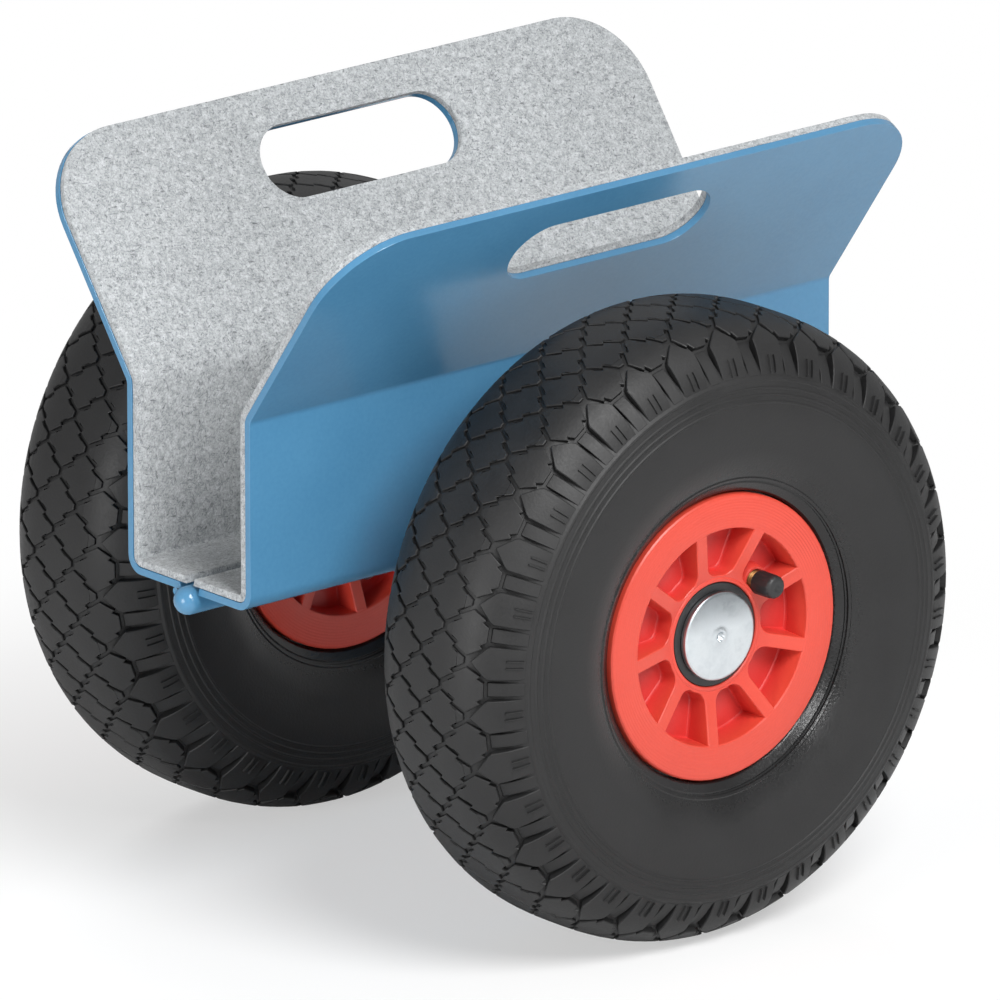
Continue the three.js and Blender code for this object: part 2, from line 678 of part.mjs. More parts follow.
// The stem leaves the tube towards the hub, bends and comes out of the face through the pocket's floor.
function valveStem() {
  const out = VALVE_CIRCLE / 2;
  const path = new THREE.CurvePath();
  const bendIn = valvePoint(out + VALVE_BEND, VALVE_OFFSET);
  const bendOut = valvePoint(out, VALVE_OFFSET + VALVE_BEND);
  path.add(new THREE.LineCurve3(valvePoint(BEAD_R + TUBE_GAP + TUBE_WALL, VALVE_OFFSET), bendIn));
  path.add(new THREE.QuadraticBezierCurve3(bendIn, valvePoint(out, VALVE_OFFSET), bendOut));
  path.add(new THREE.LineCurve3(bendOut, valvePoint(out, RIM_HALF + STEM_PROUD)));
  const shape = discShape(vec2(0, 0), STEM_DIAMETER / 2);
  const sweep = { steps: STEM_STEPS, extrudePath: path, curveSegments: STEM_FACETS };
  return closed(new THREE.ExtrudeGeometry(shape, sweep));
}

function valveCap() {
  const tip = RIM_HALF + STEM_PROUD + FIT + VALVE_CAP_END;
  const outer = VALVE_CAP_DIAMETER / 2;
  const bore = STEM_DIAMETER / 2 + FIT;
  const profile = [
    vec2(0, tip - VALVE_CAP_END),
    vec2(bore, tip - VALVE_CAP_END),
    vec2(bore, tip - VALVE_CAP_LENGTH),
    vec2(outer, tip - VALVE_CAP_LENGTH),
    vec2(outer, tip - outer / 2),
    vec2(outer / 2, tip),
    vec2(0, tip),
  ];
  return turned(profile, SMALL_FACETS);
}

function wheel(side) {
  const group = new THREE.Group();
  const flipped = (mesh) => {
    mesh.rotation.x = Math.PI;
    return mesh;
  };
  const placed = (mesh, circle, angle) => {
    const p = onCircle(circle / 2, angle);
    mesh.position.set(p.x, 0, p.y);
    return mesh;
  };
  group.add(named(`${side}_tyre`, tyre(), RUBBER));
  group.add(named(`${side}_inner_tube`, innerTube(), TUBE_RUBBER));
  group.add(named(`${side}_rim_outer`, rimHalf(1, true), RED_PLASTIC));
  group.add(flipped(named(`${side}_rim_inner`, rimHalf(-1, false), RED_PLASTIC)));
  group.add(named(`${side}_bush_outer`, bush(), BLACK_PLASTIC));
  group.add(flipped(named(`${side}_bush_inner`, bush(), BLACK_PLASTIC)));
  group.add(named(`${side}_valve_stem`, valveStem(), BRASS));
  group.add(placed(named(`${side}_valve_cap`, valveCap(), BLACK_PLASTIC), VALVE_CIRCLE, VALVE_ANGLE));
  screwAngles().forEach((angle, k) => {
    group.add(placed(named(`${side}_rim_screw_${k + 1}`, rimScrew(), STEEL), SCREW_CIRCLE, angle));
  });
  return group;
}

// One side of the cart, built as the left one

function cartSide(side) {
  const group = new THREE.Group();
  group.add(named(`${side}_jaw`, jaw(), PAINT));
  group.add(named(`${side}_felt`, felt(), FELT_GREY));
  group.add(named(`${side}_axle_carrier`, axleCarrier(), PAINT));
  const axleLine = new THREE.Group();
  axleLine.position.z = AXLE_HEIGHT;
  const spacerFrom = CARRIER_END + FIT;
  axleLine.add(named(`${side}_axle`, rod(AXLE_R, AXLE_INSET, AXLE_END, AXLE_FACETS), STEEL));
  const spacerTo = spacerFrom + SPACER_LENGTH;
  const spacer = sleeve(AXLE_R + FIT, SPACER_DIAMETER / 2, spacerFrom, spacerTo, AXLE_FACETS);
  axleLine.add(named(`${side}_spacer`, spacer, STEEL));
  axleLine.add(named(`${side}_axle_cap`, axleCap(), ZINC));
  const wheelGroup = wheel(side);
  wheelGroup.position.y = WHEEL_Y;
  axleLine.add(wheelGroup);
  group.add(axleLine);
  return group;
}

// The left jaw's knuckles stand at the ends of the channel and the right jaw's next to them, so the
// jaws can't slide apart.
function hinge() {
  const group = new THREE.Group();
  group.position.z = HINGE_Z;
  const meeting = JAW_LENGTH / 2 + KNUCKLE_PROUD - KNUCKLE_LENGTH;
  for (const [end, sign] of [["front", -1], ["rear", 1]]) {
    const outer = named(`left_${end}_knuckle`, knuckle(), PAINT);
    const inner = named(`right_${end}_knuckle`, knuckle(), PAINT);
    outer.position.x = sign * (meeting + FIT / 2);
    inner.position.x = sign * (meeting - FIT / 2);
    outer.rotation.z = sign > 0 ? Math.PI : 0;
    inner.rotation.z = sign > 0 ? 0 : Math.PI;
    const pinRod = rod(PIN_DIAMETER / 2, -PIN_LENGTH / 2, PIN_LENGTH / 2, SMALL_FACETS);
    const pin = named(`${end}_hinge_pin`, pinRod, STEEL);
    pin.rotation.z = -Math.PI / 2;
    pin.position.x = sign * meeting;
    group.add(outer, inner, pin);
  }
  return group;
}

const cart = new THREE.Group();
const left = cartSide("left");
const right = cartSide("right");
right.rotation.z = Math.PI;
cart.add(left, right, hinge());

export default cart;
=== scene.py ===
# Sheet goods cart: two felt-lined steel jaws, hinged along the bottom, each on its own stub axle and
# pneumatic wheel. The pieces are modelled in millimetres in the cart's frame: +X along the channel, +Y to
# the left wheel, +Z up. The right side is the left side turned half a turn about Z.

import math

import bmesh
import bpy
import numpy as np
from mathutils import Matrix, Vector, noise


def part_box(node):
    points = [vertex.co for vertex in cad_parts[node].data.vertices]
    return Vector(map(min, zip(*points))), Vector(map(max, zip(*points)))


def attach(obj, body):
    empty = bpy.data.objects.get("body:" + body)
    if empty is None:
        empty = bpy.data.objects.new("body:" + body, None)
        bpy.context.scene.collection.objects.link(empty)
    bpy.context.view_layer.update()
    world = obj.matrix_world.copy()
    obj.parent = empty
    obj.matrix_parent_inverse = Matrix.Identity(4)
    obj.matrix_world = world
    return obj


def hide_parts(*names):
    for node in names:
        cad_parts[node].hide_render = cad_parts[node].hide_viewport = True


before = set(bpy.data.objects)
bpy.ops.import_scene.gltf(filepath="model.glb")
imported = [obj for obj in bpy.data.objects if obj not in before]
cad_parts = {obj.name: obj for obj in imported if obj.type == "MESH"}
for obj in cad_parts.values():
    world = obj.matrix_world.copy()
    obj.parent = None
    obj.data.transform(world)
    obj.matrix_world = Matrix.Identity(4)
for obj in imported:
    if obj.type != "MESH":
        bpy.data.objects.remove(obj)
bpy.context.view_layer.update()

MM = 0.001
FULL_TURN = 2 * math.pi


def box_mm(node):
    low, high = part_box(node)
    return low / MM, high / MM


# Sizes from the frame: wheel
tyre_low, tyre_high = box_mm("left_tyre")
rim_low, rim_high = box_mm("left_rim_outer")
bush_low, bush_high = box_mm("left_bush_outer")
valve_low, valve_high = box_mm("left_valve_cap")
AXLE_Z = (tyre_low.z + tyre_high.z) / 2
WHEEL_Y = (tyre_low.y + tyre_high.y) / 2
TYRE_R = (tyre_high.z - tyre_low.z) / 2
TYRE_HALF = (tyre_high.y - tyre_low.y) / 2
RIM_R = (rim_high.x - rim_low.x) / 2
RIM_FACE = rim_high.y - WHEEL_Y
RIM_SPLIT = rim_low.y - WHEEL_Y
BUSH_R = (bush_high.x - bush_low.x) / 2
HUB_FACE = bush_high.y - WHEEL_Y

# Sizes from the frame: axle line, jaws and hinge
axle_low, axle_high = box_mm("left_axle")
cap_low, cap_high = box_mm("left_axle_cap")
spacer_low, spacer_high = box_mm("left_spacer")
carrier_low, carrier_high = box_mm("left_axle_carrier")
jaw_low, jaw_high = box_mm("left_jaw")
felt_low, felt_high = box_mm("left_felt")
barrel_low, barrel_high = box_mm("left_front_knuckle")
AXLE_R = (axle_high.x - axle_low.x) / 2
CAP_R = (cap_high.x - cap_low.x) / 2
SPACER_R = (spacer_high.x - spacer_low.x) / 2
HALF_LENGTH = jaw_high.x
FLANGE_Z = jaw_low.z
HINGE_Z = (barrel_low.z + barrel_high.z) / 2
BARREL_R = (barrel_high.z - barrel_low.z) / 2

# Folded sheet: the wall's outer face, the crease of the wing, its tilt and its hand slot
WALL_Y = 38.0
CREASE_Z = 224.5
WING_TILT = math.radians(35.5)
WING_LENGTH = 103.0
WING_CORNER = 35.0
SHEET = 3.0
BEND_R = 4.6
SLOT_LENGTH = 103.0
SLOT_HEIGHT = 32.0
SLOT_CENTRE = 70.5
FELT = 3.0
FELT_TRIM = 0.3
GLUE_LINE = 0.2
SEAM_CUT = math.radians(16.5)

# Tyre section: a flat crown, round shoulders and a sidewall that runs in to the rim
SHOULDER_HEIGHT = 38.0
CROWN_FLATNESS = 3.4
SHOULDER_FULLNESS = 1.8
SIDEWALL_BULGE = 18.0
RIM_MARGIN = 1.8
RIM_GAP = 0.7

# Tread: rows of stepped diamonds, then two kinds of shoulder lug on each side
LUGS = 34
ROW_STEP = 12.2
PITCH = FULL_TURN * TYRE_R / LUGS
GROOVE = 1.6
GROOVE_DEPTH = 3.6
JOG = 1.7
BLUNT = 1.7
FACET_SINK = 2.6
FIRST_ROW_END = 32.0
LUG_END = 49.0
TREAD_PHASE = math.radians(32.9)

# Rim: nine spokes between pockets
SPOKES = 9
SECTOR = FULL_TURN / SPOKES
SPOKE_WIDTH = 4.8
POCKET_R = 45.2
OUTER_POCKET_DEPTH = 13.0
INNER_POCKET_DEPTH = 11.0
HUB_R = 23.5
FACE_DISH = 0.5
FIRST_POCKET = math.radians(15.9)
BEAD_R = 50.8
BUSH_BORE_R = 16.3
FLANGE_THICKNESS = 5.0
BUSH_FLANGE = 3.0
VALVE_ANGLE = math.radians(144.5)
VALVE_CIRCLE = 58.4


# Making and placing pieces


def gather(target, part):
    """Moves a finished shape into another one."""
    mesh = bpy.data.meshes.new("part")
    part.to_mesh(mesh)
    part.free()
    target.from_mesh(mesh)
    bpy.data.meshes.remove(mesh)
    return target


def everything(bm):
    return bm.verts[:] + bm.edges[:] + bm.faces[:]


def corner_edges(bm, angle=math.radians(40)):
    return [e for e in bm.edges if len(e.link_faces) == 2 and e.calc_face_angle() > angle]


def soften(bm, radius, segments=2, edges=None, clamp=True):
    """Rounds the sharp edges of a shape."""
    bmesh.ops.bevel(
        bm, geom=corner_edges(bm) if edges is None else edges, offset=radius, offset_type="OFFSET",
        affect="EDGES", segments=segments, profile=0.5, material=-1, clamp_overlap=clamp,
    )
    return bm


def closed_up(bm):
    bmesh.ops.remove_doubles(bm, verts=bm.verts[:], dist=0.001)
    bmesh.ops.recalc_face_normals(bm, faces=bm.faces[:])
    return bm


def on_wheel(bm):
    """Moves a shape from the wheel's own frame to the left wheel."""
    bmesh.ops.translate(bm, verts=bm.verts[:], vec=(0, WHEEL_Y, AXLE_Z))
    return bm


def on_axle(bm):
    bmesh.ops.translate(bm, verts=bm.verts[:], vec=(0, 0, AXLE_Z))
    return bm


def turn_over(bm):
    """Turns a wheel piece about X, so that its face looks inward."""
    bmesh.ops.rotate(bm, verts=bm.verts[:], cent=(0, 0, 0), matrix=Matrix.Rotation(math.pi, 3, "X"))
    return bm


def make_piece(bm, name, body, material, nodes=(), side="left", sharp=math.radians(35)):
    """Makes the finished piece: right-hand pieces are turned, everything becomes metres."""
    if side == "right":
        half_turn = Matrix.Rotation(math.pi, 3, "Z")
        bmesh.ops.rotate(bm, verts=bm.verts[:], cent=(0, 0, 0), matrix=half_turn)
    closed_up(bm)
    bmesh.ops.scale(bm, vec=(MM, MM, MM), verts=bm.verts[:])
    mesh = bpy.data.meshes.new(name)
    bm.to_mesh(mesh)
    bm.free()
    mesh.shade_smooth()
    mesh.set_sharp_from_angle(angle=sharp)
    mesh.materials.append(material)
    obj = bpy.data.objects.new(name, mesh)
    bpy.context.scene.collection.objects.link(obj)
    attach(obj, body)
    if nodes:
        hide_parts(*nodes)
    return obj


def turned(profile, steps=72):
    """A shape turned about Y. Its profile of (radius, y) starts and ends on the axis, or is a closed loop."""
    bm = bmesh.new()
    points = [bm.verts.new((r, y, 0)) for r, y in profile]
    pairs = list(zip(points, points[1:]))
    if profile[0][0] > 0:
        pairs.append((points[-1], points[0]))
    edges = [bm.edges.new(pair) for pair in pairs]
    bmesh.ops.spin(
        bm, geom=points + edges, cent=(0, 0, 0), axis=(0, 1, 0), angle=FULL_TURN, steps=steps, use_merge=True
    )
    return closed_up(bm)


def slab(outline, depth, across=(), along=()):
    """A flat plate under an outline in the plane of X and Y, cut at some Y and some X. Its top is at zero."""
    bm = bmesh.new()
    bm.faces.new([bm.verts.new((x, y, 0)) for x, y in outline])
    cuts = [(Vector((0, 1, 0)), place) for place in across] + [(Vector((1, 0, 0)), place) for place in along]
    for normal, place in cuts:
        bmesh.ops.bisect_plane(bm, geom=everything(bm), dist=0.001, plane_co=normal * place, plane_no=normal)
    bmesh.ops.recalc_face_normals(bm, faces=bm.faces[:])
    if bm.faces[:][0].normal.z < 0:
        bmesh.ops.reverse_faces(bm, faces=bm.faces[:])
    bmesh.ops.solidify(bm, geom=bm.faces[:], thickness=depth)
    closed_up(bm)
    top = max(v.co.z for v in bm.verts)
    bmesh.ops.translate(bm, verts=bm.verts[:], vec=(0, 0, -top))
    return bm


# Finishes


def mottle_group():
    """Two sizes of soft noise, mixed: a tone from 0 to 1 and a height for bumps."""
    group = bpy.data.node_groups.new("Mottle", "ShaderNodeTree")
    for label, value in (("Fine scale", 600.0), ("Coarse scale", 60.0), ("Coarse share", 0.5), ("Drag", 0.0)):
        socket = group.interface.new_socket(label, in_out="INPUT", socket_type="NodeSocketFloat")
        socket.default_value = value
    for label in ("Tone", "Height"):
        group.interface.new_socket(label, in_out="OUTPUT", socket_type="NodeSocketFloat")
    nodes, links = group.nodes, group.links
    inputs, outputs = nodes.new("NodeGroupInput"), nodes.new("NodeGroupOutput")
    coords = nodes.new("ShaderNodeTexCoord")
    fine, coarse = nodes.new("ShaderNodeTexNoise"), nodes.new("ShaderNodeTexNoise")
    fine.inputs["Detail"].default_value = 3.0
    coarse.inputs["Detail"].default_value = 2.0
    for texture, label in ((fine, "Fine scale"), (coarse, "Coarse scale")):
        links.new(coords.outputs["Object"], texture.inputs["Vector"])
        links.new(inputs.outputs[label], texture.inputs["Scale"])
        links.new(inputs.outputs["Drag"], texture.inputs["Distortion"])
    mix = nodes.new("ShaderNodeMix")
    links.new(inputs.outputs["Coarse share"], mix.inputs["Factor"])
    links.new(fine.outputs["Fac"], mix.inputs["A"])
    links.new(coarse.outputs["Fac"], mix.inputs["B"])
    links.new(mix.outputs["Result"], outputs.inputs["Tone"])
    links.new(fine.outputs["Fac"], outputs.inputs["Height"])
    return group


def ring_group():
    """Fine turning lines round the axle, by the distance from it in the plane of the wheel."""
    group = bpy.data.node_groups.new("Turning lines", "ShaderNodeTree")
    for label, value in (("Line spacing", 0.0012), ("From radius", 0.044), ("To radius", 0.0575)):
        socket = group.interface.new_socket(label, in_out="INPUT", socket_type="NodeSocketFloat")
        socket.default_value = value
    for label in ("Height", "Radius"):
        group.interface.new_socket(label, in_out="OUTPUT", socket_type="NodeSocketFloat")
    nodes, links = group.nodes, group.links
    inputs, outputs = nodes.new("NodeGroupInput"), nodes.new("NodeGroupOutput")
    coords, mapping = nodes.new("ShaderNodeTexCoord"), nodes.new("ShaderNodeMapping")
    mapping.inputs["Location"].default_value = (0, 0, -AXLE_Z * MM)
    mapping.inputs["Scale"].default_value = (1, 0, 1)
    links.new(coords.outputs["Object"], mapping.inputs["Vector"])
    length = nodes.new("ShaderNodeVectorMath")
    length.operation = "LENGTH"
    links.new(mapping.outputs["Vector"], length.inputs[0])

    def math_node(operation, *values):
        node = nodes.new("ShaderNodeMath")
        node.operation = operation
        for socket, value in zip(node.inputs, values):
            if isinstance(value, (int, float)):
                socket.default_value = value
            else:
                links.new(value, socket)
        return node.outputs["Value"]

    radius = length.outputs["Value"]
    turns = math_node("DIVIDE", radius, inputs.outputs["Line spacing"])
    line = math_node("FRACT", turns)
    past = math_node("GREATER_THAN", radius, inputs.outputs["From radius"])
    short = math_node("LESS_THAN", radius, inputs.outputs["To radius"])
    cut = math_node("POWER", math_node("ABSOLUTE", math_node("SUBTRACT", line, 0.5)), 2.0)
    links.new(math_node("MULTIPLY", math_node("MULTIPLY", cut, past), short), outputs.inputs["Height"])
    links.new(radius, outputs.inputs["Radius"])
    return group


def fibre_group():
    """Short hairs that lie three ways across a sheet: a value that dips in dark hairs and rises in pale ones."""
    group = bpy.data.node_groups.new("Fibres", "ShaderNodeTree")
    for label in ("Dark", "Pale"):
        group.interface.new_socket(label, in_out="OUTPUT", socket_type="NodeSocketFloat")
    nodes, links = group.nodes, group.links
    outputs, coords = nodes.new("NodeGroupOutput"), nodes.new("ShaderNodeTexCoord")
    layers = []
    for turn in (15, 75, -45):
        mapping, hairs = nodes.new("ShaderNodeMapping"), nodes.new("ShaderNodeTexNoise")
        mapping.vector_type = "TEXTURE"
        mapping.inputs["Rotation"].default_value = (0, math.radians(turn), 0)
        mapping.inputs["Scale"].default_value = (0.0034, 0.0008, 0.0008)
        hairs.inputs["Scale"].default_value = 1.0
        hairs.inputs["Detail"].default_value = 1.5
        hairs.inputs["Distortion"].default_value = 0.6
        links.new(coords.outputs["Object"], mapping.inputs["Vector"])
        links.new(mapping.outputs["Vector"], hairs.inputs["Vector"])
        layers.append(hairs.outputs["Fac"])
    for label, operation in (("Dark", "MINIMUM"), ("Pale", "MAXIMUM")):
        first, second = nodes.new("ShaderNodeMath"), nodes.new("ShaderNodeMath")
        first.operation = second.operation = operation
        links.new(layers[0], first.inputs[0])
        links.new(layers[1], first.inputs[1])
        links.new(first.outputs["Value"], second.inputs[0])
        links.new(layers[2], second.inputs[1])
        links.new(second.outputs["Value"], outputs.inputs[label])
    return group


MOTTLE = mottle_group()
FIBRES = fibre_group()
TURNING = ring_group()


class Finish:
    """A material under construction: its nodes, links and surface shader."""

    def __init__(self, name, roughness, metallic=0.0):
        self.material = bpy.data.materials.new(name)
        self.material.use_nodes = True
        self.nodes = self.material.node_tree.nodes
        self.links = self.material.node_tree.links
        self.shader = self.nodes["Principled BSDF"]
        self.shader.inputs["Roughness"].default_value = roughness
        self.shader.inputs["Metallic"].default_value = metallic

    def group(self, group, **values):
        node = self.nodes.new("ShaderNodeGroup")
        node.node_tree = group
        for label, value in values.items():
            node.inputs[label.replace("_", " ")].default_value = value
        return node

    def ramp(self, value, stops):
        node = self.nodes.new("ShaderNodeValToRGB")
        elements = node.color_ramp.elements
        while len(elements) < len(stops):
            elements.new(0.5)
        for element, (place, colour) in zip(elements, stops):
            element.position = place
            element.color = (*colour, 1)
        self.links.new(value, node.inputs["Fac"])
        return node.outputs["Color"]

    def spread(self, value, low, high, start=0.3, end=0.7):
        """Maps a stretch of a value, by default the middle of a noise, to another range."""
        node = self.nodes.new("ShaderNodeMapRange")
        for label, number in (("From Min", start), ("From Max", end), ("To Min", low), ("To Max", high)):
            node.inputs[label].default_value = number
        self.links.new(value, node.inputs["Value"])
        return node.outputs["Result"]

    def math(self, operation, first, second=None):
        """One step of arithmetic; the second term is a plain number or another value."""
        node = self.nodes.new("ShaderNodeMath")
        node.operation = operation
        self.links.new(first, node.inputs[0])
        if isinstance(second, float):
            node.inputs[1].default_value = second
        elif second is not None:
            self.links.new(second, node.inputs[1])
        return node.outputs["Value"]

    def place(self, axis):
        """One coordinate of the point, in the cart's frame."""
        coords, split = self.nodes.new("ShaderNodeTexCoord"), self.nodes.new("ShaderNodeSeparateXYZ")
        self.links.new(coords.outputs["Object"], split.inputs["Vector"])
        return split.outputs[axis]

    def blend(self, kind, first, second):
        node = self.nodes.new("ShaderNodeMix")
        node.data_type = "RGBA"
        node.blend_type = kind
        node.inputs["Factor"].default_value = 1.0
        self.links.new(first, node.inputs["A"])
        self.links.new(second, node.inputs["B"])
        return node.outputs["Result"]

    def colour(self, output):
        self.links.new(output, self.shader.inputs["Base Color"])

    def rough(self, output):
        self.links.new(output, self.shader.inputs["Roughness"])

    def bump(self, height, distance, strength=1.0, under=None):
        node = self.nodes.new("ShaderNodeBump")
        node.inputs["Distance"].default_value = distance
        node.inputs["Strength"].default_value = strength
        self.links.new(height, node.inputs["Height"])
        if under is not None:
            self.links.new(under, node.inputs["Normal"])
        self.links.new(node.outputs["Normal"], self.shader.inputs["Normal"])
        return node.outputs["Normal"]


def blue_paint():
    finish = Finish("Blue powder coat", 0.14)
    peel = finish.group(MOTTLE, Fine_scale=520.0, Coarse_scale=22.0, Coarse_share=0.6)
    finish.colour(finish.ramp(peel.outputs["Tone"], [(0.3, (0.067, 0.214, 0.377)), (0.7, (0.084, 0.250, 0.422))]))
    finish.rough(finish.spread(peel.outputs["Tone"], 0.11, 0.18))
    finish.bump(peel.outputs["Height"], 0.00004)
    return finish.material


def grey_felt():
    finish = Finish("Grey wool felt", 0.95)
    finish.shader.inputs["Sheen Weight"].default_value = 0.3
    finish.shader.inputs["Sheen Roughness"].default_value = 0.6
    finish.shader.inputs["Specular IOR Level"].default_value = 0.15
    hairs = finish.group(FIBRES)
    clouds = finish.group(MOTTLE, Fine_scale=1300.0, Coarse_scale=420.0, Coarse_share=0.45, Drag=0.6)
    dark = finish.ramp(hairs.outputs["Dark"], [(0.24, (0.42, 0.43, 0.44)), (0.40, (1.0, 1.0, 1.0))])
    ground = finish.ramp(clouds.outputs["Tone"], [
        (0.34, (0.258, 0.271, 0.284)), (0.5, (0.420, 0.441, 0.454)), (0.66, (0.595, 0.616, 0.630)),
    ])
    finish.colour(finish.blend("MULTIPLY", ground, dark))
    soft = finish.bump(hairs.outputs["Pale"], 0.0005, 0.6)
    finish.bump(clouds.outputs["Height"], 0.0004, 0.6, under=soft)
    return finish.material


def tyre_rubber():
    finish = Finish("Tyre rubber", 0.55)
    finish.shader.inputs["Specular IOR Level"].default_value = 0.41
    grain = finish.group(MOTTLE, Fine_scale=900.0, Coarse_scale=45.0, Coarse_share=0.55)
    finish.colour(finish.ramp(grain.outputs["Tone"], [(0.3, (0.0068, 0.0068, 0.0071)), (0.7, (0.0145, 0.0145, 0.0149))]))
    wheel = finish.group(TURNING)
    shine = finish.spread(wheel.outputs["Radius"], -0.32, 0.0, 0.066, 0.078)
    finish.rough(finish.math("ADD", finish.spread(grain.outputs["Tone"], 0.44, 0.62), shine))
    finish.bump(grain.outputs["Height"], 0.00015, 0.6)
    return finish.material


def tube_rubber():
    finish = Finish("Tube rubber", 0.5)
    grain = finish.group(MOTTLE, Fine_scale=700.0, Coarse_scale=80.0)
    finish.colour(finish.ramp(grain.outputs["Tone"], [(0.3, (0.012, 0.012, 0.012)), (0.7, (0.022, 0.022, 0.022))]))
    return finish.material


def red_plastic():
    finish = Finish("Red moulded plastic", 0.4)
    grain = finish.group(MOTTLE, Fine_scale=800.0, Coarse_scale=30.0, Coarse_share=0.6)
    # Painted shade in the pockets: the red is multiplied darker, most in green, the nearer a surface lies to the
    # wheel's middle, fully within 21 mm and fading out by 31 mm towards the face.
    off_wheel = finish.math("SUBTRACT", finish.math("ABSOLUTE", finish.place("Y")), WHEEL_Y * MM)
    off_middle = finish.math("ABSOLUTE", off_wheel)
    depth = finish.spread(off_middle, 0.0, 1.0, 0.021, 0.031)
    painted_pocket_shade = finish.ramp(depth, [(0.0, (0.94, 0.60, 0.92)), (1.0, (1.0, 1.0, 1.0))])
    shade = finish.ramp(grain.outputs["Tone"], [(0.3, (0.635, 0.0575, 0.0335)), (0.7, (0.69, 0.069, 0.041))])
    finish.colour(finish.blend("MULTIPLY", shade, painted_pocket_shade))
    finish.rough(finish.spread(grain.outputs["Tone"], 0.34, 0.46))
    soft = finish.bump(grain.outputs["Height"], 0.0001, 0.5)
    lines = finish.group(TURNING)
    finish.bump(lines.outputs["Height"], 0.0004, 0.6, under=soft)
    return finish.material


def black_plastic():
    finish = Finish("Black moulded plastic", 0.42)
    grain = finish.group(MOTTLE, Fine_scale=1100.0, Coarse_scale=90.0)
    finish.colour(finish.ramp(grain.outputs["Tone"], [(0.3, (0.010, 0.010, 0.011)), (0.7, (0.020, 0.020, 0.021))]))
    finish.rough(finish.spread(grain.outputs["Tone"], 0.35, 0.5))
    finish.bump(grain.outputs["Height"], 0.0001, 0.5)
    return finish.material


def zinc_plate():
    finish = Finish("Bright zinc", 0.32, 1.0)
    grain = finish.group(MOTTLE, Fine_scale=420.0, Coarse_scale=42.0, Coarse_share=0.8, Drag=0.4)
    bright = finish.ramp(grain.outputs["Tone"], [(0.34, (0.50, 0.54, 0.57)), (0.6, (0.70, 0.74, 0.76))])
    # Painted reflection: the cap is darkened over its upper part, from just above the axle to its top, with a streaky
    # edge from the grain.
    above = finish.spread(finish.place("Z"), 0.0, 1.0, (AXLE_Z + 0.1 * CAP_R) * MM, (AXLE_Z + CAP_R) * MM)
    painted_shade_streaks = finish.math("ADD", above, finish.spread(grain.outputs["Tone"], -0.3, 0.3))
    painted_top_shade = finish.ramp(painted_shade_streaks, [(0.1, (1.0, 1.0, 1.0)), (0.6, (0.62, 0.63, 0.64)), (0.95, (0.42, 0.43, 0.44))])
    finish.colour(finish.blend("MULTIPLY", bright, painted_top_shade))
    finish.rough(finish.spread(grain.outputs["Tone"], 0.22, 0.42))
    soft = finish.bump(grain.outputs["Height"], 0.00012, 0.5)
    lines = finish.group(TURNING, Line_spacing=0.0006, From_radius=0.0, To_radius=0.03)
    finish.bump(lines.outputs["Height"], 0.00008, 0.4, under=soft)
    return finish.material


def bare_steel():
    finish = Finish("Drawn steel", 0.35, 1.0)
    grain = finish.group(MOTTLE, Fine_scale=500.0, Coarse_scale=60.0)
    finish.colour(finish.ramp(grain.outputs["Tone"], [(0.3, (0.42, 0.43, 0.45)), (0.7, (0.56, 0.57, 0.59))]))
    finish.rough(finish.spread(grain.outputs["Tone"], 0.28, 0.45))
    return finish.material


def valve_brass():
    finish = Finish("Turned brass", 0.45, 1.0)
    grain = finish.group(MOTTLE, Fine_scale=700.0, Coarse_scale=120.0)
    finish.colour(finish.ramp(grain.outputs["Tone"], [(0.3, (0.20, 0.095, 0.035)), (0.7, (0.34, 0.19, 0.075))]))
    finish.rough(finish.spread(grain.outputs["Tone"], 0.38, 0.55))
    return finish.material


PAINT = blue_paint()
FELT_GREY = grey_felt()
RUBBER = tyre_rubber()
TUBE = tube_rubber()
RED = red_plastic()
BLACK = black_plastic()
ZINC = zinc_plate()
STEEL = bare_steel()
BRASS = valve_brass()


# Tyre: one curve of its section by arc length, from the crown over the shoulder to the rim


def tyre_curve():
    widest = TYRE_R - SHOULDER_HEIGHT
    a = np.linspace(0, 1, 900) ** (CROWN_FLATNESS / 2) * math.pi / 2
    y = TYRE_HALF * np.sin(a) ** (2 / CROWN_FLATNESS)
    r = widest + SHOULDER_HEIGHT * np.clip(np.cos(a), 0, 1) ** (2 / SHOULDER_FULLNESS)
    t = np.linspace(0, 1, 300)[1:]
    start = np.array([TYRE_HALF, widest])
    pull = np.array([TYRE_HALF, widest - SIDEWALL_BULGE])
    end = np.array([RIM_FACE - RIM_MARGIN, RIM_R + RIM_GAP])
    lower = np.outer((1 - t) ** 2, start) + np.outer(2 * t * (1 - t), pull) + np.outer(t**2, end)
    y, r = np.append(y, lower[:, 0]), np.append(r, lower[:, 1])
    arc = np.append(0, np.cumsum(np.hypot(np.diff(y), np.diff(r))))
    return arc, y, r


ARC, ARC_Y, ARC_R = tyre_curve()
ARC_END = float(ARC[-1])


def on_curve(across, lift):
    """Radius and y of a point on the tyre's section, lifted off it."""
    s = abs(across)
    ends = np.clip([s - 0.2, s + 0.2], 0, ARC_END)
    (y0, y1), (r0, r1) = np.interp(ends, ARC, ARC_Y), np.interp(ends, ARC, ARC_R)
    if s < 0.2:
        y0, r0 = -y1, r1
    length = math.hypot(y1 - y0, r1 - r0)
    radius = np.interp(s, ARC, ARC_R) + lift * (y1 - y0) / length
    y = np.interp(s, ARC, ARC_Y) - lift * (r1 - r0) / length
    return float(radius), float(math.copysign(y, across))


def wrap_on_tyre(bm, lift_at=None):
    """Wraps a flat shape round the tyre: X runs round it, Y across it and Z off it."""
    for vert in bm.verts:
        along, across, lift = vert.co
        if lift_at is not None:
            lift = lift_at(abs(across), lift)
        radius, y = on_curve(across, lift)
        angle = TREAD_PHASE + along / TYRE_R
        vert.co = (radius * math.cos(angle), y, radius * math.sin(angle))
    return bm


def groove_floor(across):
    places = [0, 24, 31, 36, 40, 44, LUG_END, LUG_END + 1]
    return float(np.interp(abs(across), places, [1.2, 1.2, 2.2, 3.7, 3.2, 1.8, 0.2, 0]))


